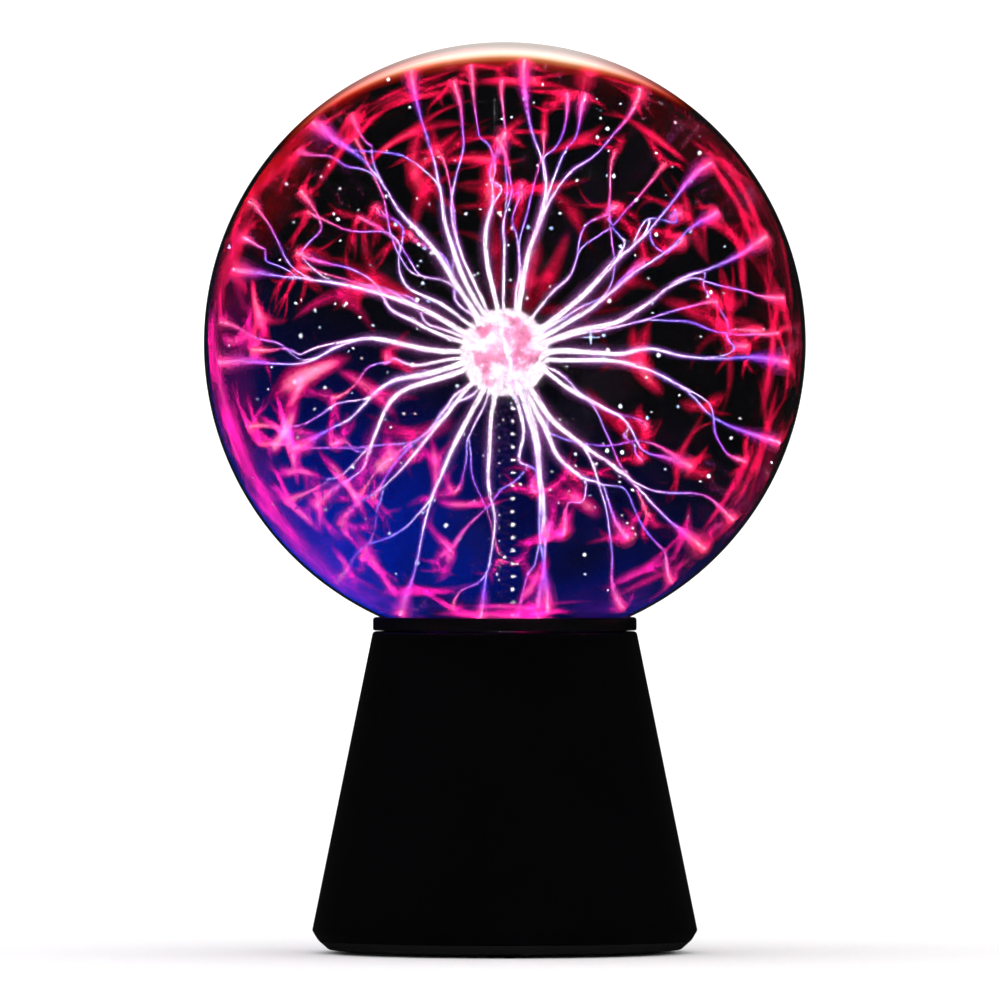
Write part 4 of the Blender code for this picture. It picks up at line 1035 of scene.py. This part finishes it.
def make_controls(looks):
    """The fluted knob on its shaft, and the power socket."""
    edit = bmesh.new()

    def ring(radius, y, fluted=0.0):
        flutes, turns, points = 24, 240, []
        for k in range(turns):
            a = math.tau * k / turns
            r = radius - 0.28 * fluted * (0.5 + 0.5 * math.cos(a * flutes)) ** 2
            points.append(edit.verts.new((KNOB_X + r * math.cos(a), y, CONTROL_Z + r * math.sin(a))))
        return points

    levels = [
        (3.15, 52.9), (6.6, 52.9), (6.95, 53.15, 1), (7.0, 53.6, 1), (6.62, 59.7, 1), (6.3, 60.45, 0.6),
        (5.8, 60.8), (0.01, 60.8),
    ]  # radius, distance back and depth of the flutes
    outer = [ring(*level) for level in levels]
    bore = [ring(0.01, 59.0), ring(3.15, 59.0), outer[0]]
    for rows in (outer, bore):
        for near, far in zip(rows, rows[1:]):
            for quad in quads(near, far):
                edit.faces.new(quad)
    for end in (outer[-1], bore[0]):
        edit.faces.new(end)
    knob = to_object("dial_knob", edit, looks["knob"], 30)
    cut(knob, box((KNOB_X - 0.45, 60.35, CONTROL_Z + 1.6), (KNOB_X + 0.45, 62, CONTROL_Z + 8)))
    show(knob, "knob_plastic", "sensitivity_knob", body="dial")
    mark = box((KNOB_X - 0.38, 60.36, CONTROL_Z + 1.7), (KNOB_X + 0.38, 60.46, CONTROL_Z + 5.9))
    mark.name = "dial_mark"
    mark.data.materials.append(looks["paint"])
    soften(mark, 0.04)
    show(mark, "knob_plastic", body="dial")

    face = PANEL_FACE_Y + GAP
    profile = [(0, 36.0), (4.0, 36.0), (4.0, face), (4.75, face), (4.9, face + 0.15), (4.9, face + 1.0)]
    profile += [(4.75, face + 1.2), (4.5, face + 1.3), (3.3, face + 1.3), (3.15, face + 1.15)]
    profile += [(3.15, 41.0), (0, 41.0)]
    at = (JACK_X, 0, CONTROL_Z)
    socket = lathe("power_socket", profile, looks["matte"], steps=72, axis="Y", at=at)
    show(socket, "black_matte", "dc_jack")
    pin = [(0, 41.3), (1.0, 41.3), (1.0, 49.0), (0.85, 49.5), (0.5, 49.75), (0, 49.8)]
    made = lathe("power_pin", pin, looks["steel"], steps=40, axis="Y", at=at)
    show(made, "steel", "dc_jack_pin")


def polish_kept(looks):
    """Gives each CAD piece that stays its material, welded corners and slightly rounded edges."""
    kept = {
        "control_panel": ("matte", 0.3), "neck_clamp": ("matte", 0.3), "power_transistor": ("matte", 0.15),
        "driver_chip": ("matte", 0), "mode_switch_body": ("steel", 0.2), "pot_nut": ("steel", 0.25),
        "mode_switch_slider": ("knob", 0.2), "sensitivity_pot": ("zinc", 0.2), "microphone": ("zinc", 0.15),
        "pot_shaft": ("brass", 0.1), "contact_pin": ("brass", 0.15), "stem_plug": ("silicone", 0.2),
        "neck_sleeve": ("foam", 0.3), "circuit_board": ("board", 0.1), "transformer_core": ("ferrite", 0),
        "primary_coil": ("copper", 1.2), "hv_coil": ("epoxy", 0.4), "heat_sink": ("aluminium", 0.15),
        "filter_capacitor": ("sleeve", 0.3), "timing_capacitor": ("sleeve", 0.3),
        "film_capacitor": ("film", 0), "hv_lead": ("red_wire", 0), "dc_lead_red": ("red_wire", 0),
        "dc_lead_black": ("black_wire", 0), "switch_lead": ("silicone", 0), "pot_lead": ("silicone", 0),
        "mic_lead": ("silicone", 0),
    }
    for name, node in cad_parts.items():
        if node.hide_render:
            continue
        look, edge = kept.get(name, ("screw", 0.1))
        node.data.materials.clear()
        node.data.materials.append(looks[look])
        weld = node.modifiers.new("weld", "WELD")
        weld.merge_threshold = 1e-5
        node.data.polygons.foreach_set("use_smooth", [True] * len(node.data.polygons))
        if edge:
            soften(node, edge, angle=40)
        else:
            split = node.modifiers.new("split", "EDGE_SPLIT")
            split.split_angle = math.radians(38)


def make_looks():
    return {
        "gloss": moulded(
            "gloss_black", (0.0011, 0.0009, 0.0016), 0.2, grain=0.02, wear=0.06, Specular_IOR_Level=0.45
        ),
        "matte": moulded("matte_black", (0.010, 0.010, 0.011), 0.55, grain=0.2),
        "knob": moulded("knob_black", (0.022, 0.022, 0.024), 0.42, grain=0.12),
        "paint": moulded("white_paint", (0.75, 0.75, 0.73), 0.5),
        "rubber": soft_rubber("black_rubber", (0.0014, 0.0013, 0.0018)),
        "foam": foam("grey_foam", (0.16, 0.16, 0.17)),
        "silicone": soft_rubber("white_silicone", (0.72, 0.71, 0.67), 0.5),
        "red_wire": moulded("red_insulation", (0.50, 0.02, 0.015), 0.4),
        "black_wire": moulded("black_insulation", (0.012, 0.012, 0.012), 0.45),
        "board": circuit_look(),
        "ferrite": soft_rubber("ferrite", (0.045, 0.045, 0.05), 0.65),
        "copper": winding_look("copper_wire", (0.45, 0.16, 0.05), (0.80, 0.38, 0.16), 700.0, Metallic=1.0),
        "epoxy": winding_look("potting_epoxy", (0.012, 0.02, 0.05), (0.03, 0.05, 0.11), 120.0),
        "sleeve": moulded("capacitor_sleeve", (0.015, 0.025, 0.09), 0.28),
        "film": moulded("film_dip", (0.50, 0.10, 0.03), 0.3),
        "aluminium": metal("drawn_aluminium", (0.78, 0.79, 0.80), 0.35),
        "brass": metal("turned_brass", (0.78, 0.57, 0.22), 0.28),
        "steel": metal("plated_steel", (0.62, 0.62, 0.64), 0.28),
        "zinc": metal("zinc_plate", (0.66, 0.66, 0.67), 0.38),
        "screw": metal("screw_steel", (0.42, 0.42, 0.44), 0.32),
    }


# ---- studio


def make_studio():
    floor = bpy.data.meshes.new("floor")
    edit = bmesh.new()
    bmesh.ops.create_circle(edit, cap_ends=True, segments=96, radius=6.0)
    edit.to_mesh(floor)
    edit.free()
    ground = add_object("floor", floor)
    ground.location.z = -0.0002  # just clear of the feet
    pale = Look("floor_paper", Roughness=0.9, Specular_IOR_Level=0.0)
    pale.to("Base Color", pale.ramp(pale.noise(3.0), [(0.3, (0.90, 0.90, 0.90)), (0.7, (0.92, 0.92, 0.92))]))
    floor.materials.append(pale.material)
    ground.visible_glossy = False

    world = bpy.data.worlds.new("studio")
    bpy.context.scene.world = world
    world.use_nodes = True
    nodes, links = world.node_tree.nodes, world.node_tree.links
    ray = nodes.new("ShaderNodeLightPath")
    back = nodes["Background"]
    back.inputs["Color"].default_value = (1, 1, 1, 1)
    gloss = nodes.new("ShaderNodeMath")
    gloss.operation = "MULTIPLY_ADD"  # reflections see almost none of it
    soft, reflected = 1.25, 0.01
    links.new(ray.outputs["Is Glossy Ray"], gloss.inputs[0])
    gloss.inputs[1].default_value = reflected - soft
    gloss.inputs[2].default_value = soft
    links.new(gloss.outputs[0], back.inputs["Strength"])


def make_top_light():
    """A long soft light behind and above, which runs along the top edge of the globe. It's a piece of a large
    sphere, so that it can be laid out by how far it lies from straight back and at what bearing."""
    rows, columns, first, last = 32, 48, 52.0, 138.0
    distance, lowest, spread = 2.2, 3, 51  # metres, and degrees away from straight back
    points, faces, values = [], [], {"rise": [], "dim": []}
    for c in range(columns + 1):
        bearing = first + (last - first) * c / columns
        full = smooth_step(first, 80, bearing) * (1 - smooth_step(94, last, bearing))
        for r in range(rows + 1):
            away = math.radians(lowest + spread * (0.6 + 0.4 * full) * r / rows)
            b = math.radians(bearing)
            way = Vector((math.sin(away) * math.cos(b), math.cos(away), math.sin(away) * math.sin(b)))
            points.append(GLOBE * MM + way * distance)
            values["rise"].append(r / rows)
            values["dim"].append(full)
    for c in range(columns):
        near = range(c * (rows + 1), (c + 1) * (rows + 1))
        faces += quads(near, [a + rows + 1 for a in near], closed=False)
    glow = light_only("top_light_glow")
    stops = [
        (0.0, (0.066, 0.061, 0.057)), (0.17, (0.106, 0.095, 0.087)), (0.33, (0.17, 0.15, 0.14)),
        (0.44, (0.27, 0.24, 0.225)), (0.54, (0.50, 0.43, 0.395)), (0.62, (1.0, 0.74, 0.60)),
        (0.69, (0.85, 0.58, 0.40)), (0.76, (0.55, 0.17, 0.06)), (0.85, (0.30, 0.014, 0.005)),
        (1.0, (0.0, 0.0, 0.0)),
    ]
    dim = glow.attribute("dim")
    warmer = glow.mix(dim, (1.0, 0.05, 0.0), (1.0, 1.0, 1.0))
    colour = glow.ramp(glow.attribute("rise"), stops)
    glow.to("Emission Color", glow.mix(1.0, colour, warmer, blend="MULTIPLY"))
    glow.to("Emission Strength", glow.times(glow.math("POWER", dim, 0.8), 10.0))
    light = painted_mesh("top_light", points, faces, values, glow.unsampled())
    light.visible_camera = light.visible_diffuse = light.visible_shadow = light.visible_transmission = False


def make_camera():
    camera = bpy.data.cameras.new("camera")
    camera.sensor_width = 36.0
    camera.lens = 500.0
    made = add_object("camera", camera)
    field = 0.3322  # metres across the frame, at the object
    distance = field / 2 / math.tan(math.atan(camera.sensor_width / 2 / camera.lens))
    across, height = -0.0016, 0.1502
    made.location = (across, -distance, height)
    made.rotation_euler = (math.radians(90), 0, 0)
    camera.clip_start, camera.clip_end = 0.1, 60.0
    bpy.context.scene.camera = made


def set_rendering():
    scene = bpy.context.scene
    scene.view_settings.view_transform = "Standard"
    scene.cycles.transparent_max_bounces = 160


def main():
    looks = make_looks()
    make_camera()
    make_glass()
    make_base(looks)
    make_controls(looks)
    make_electrode()
    make_haze()
    make_discharge()
    polish_kept(looks)
    make_studio()
    make_top_light()
    set_rendering()


main()
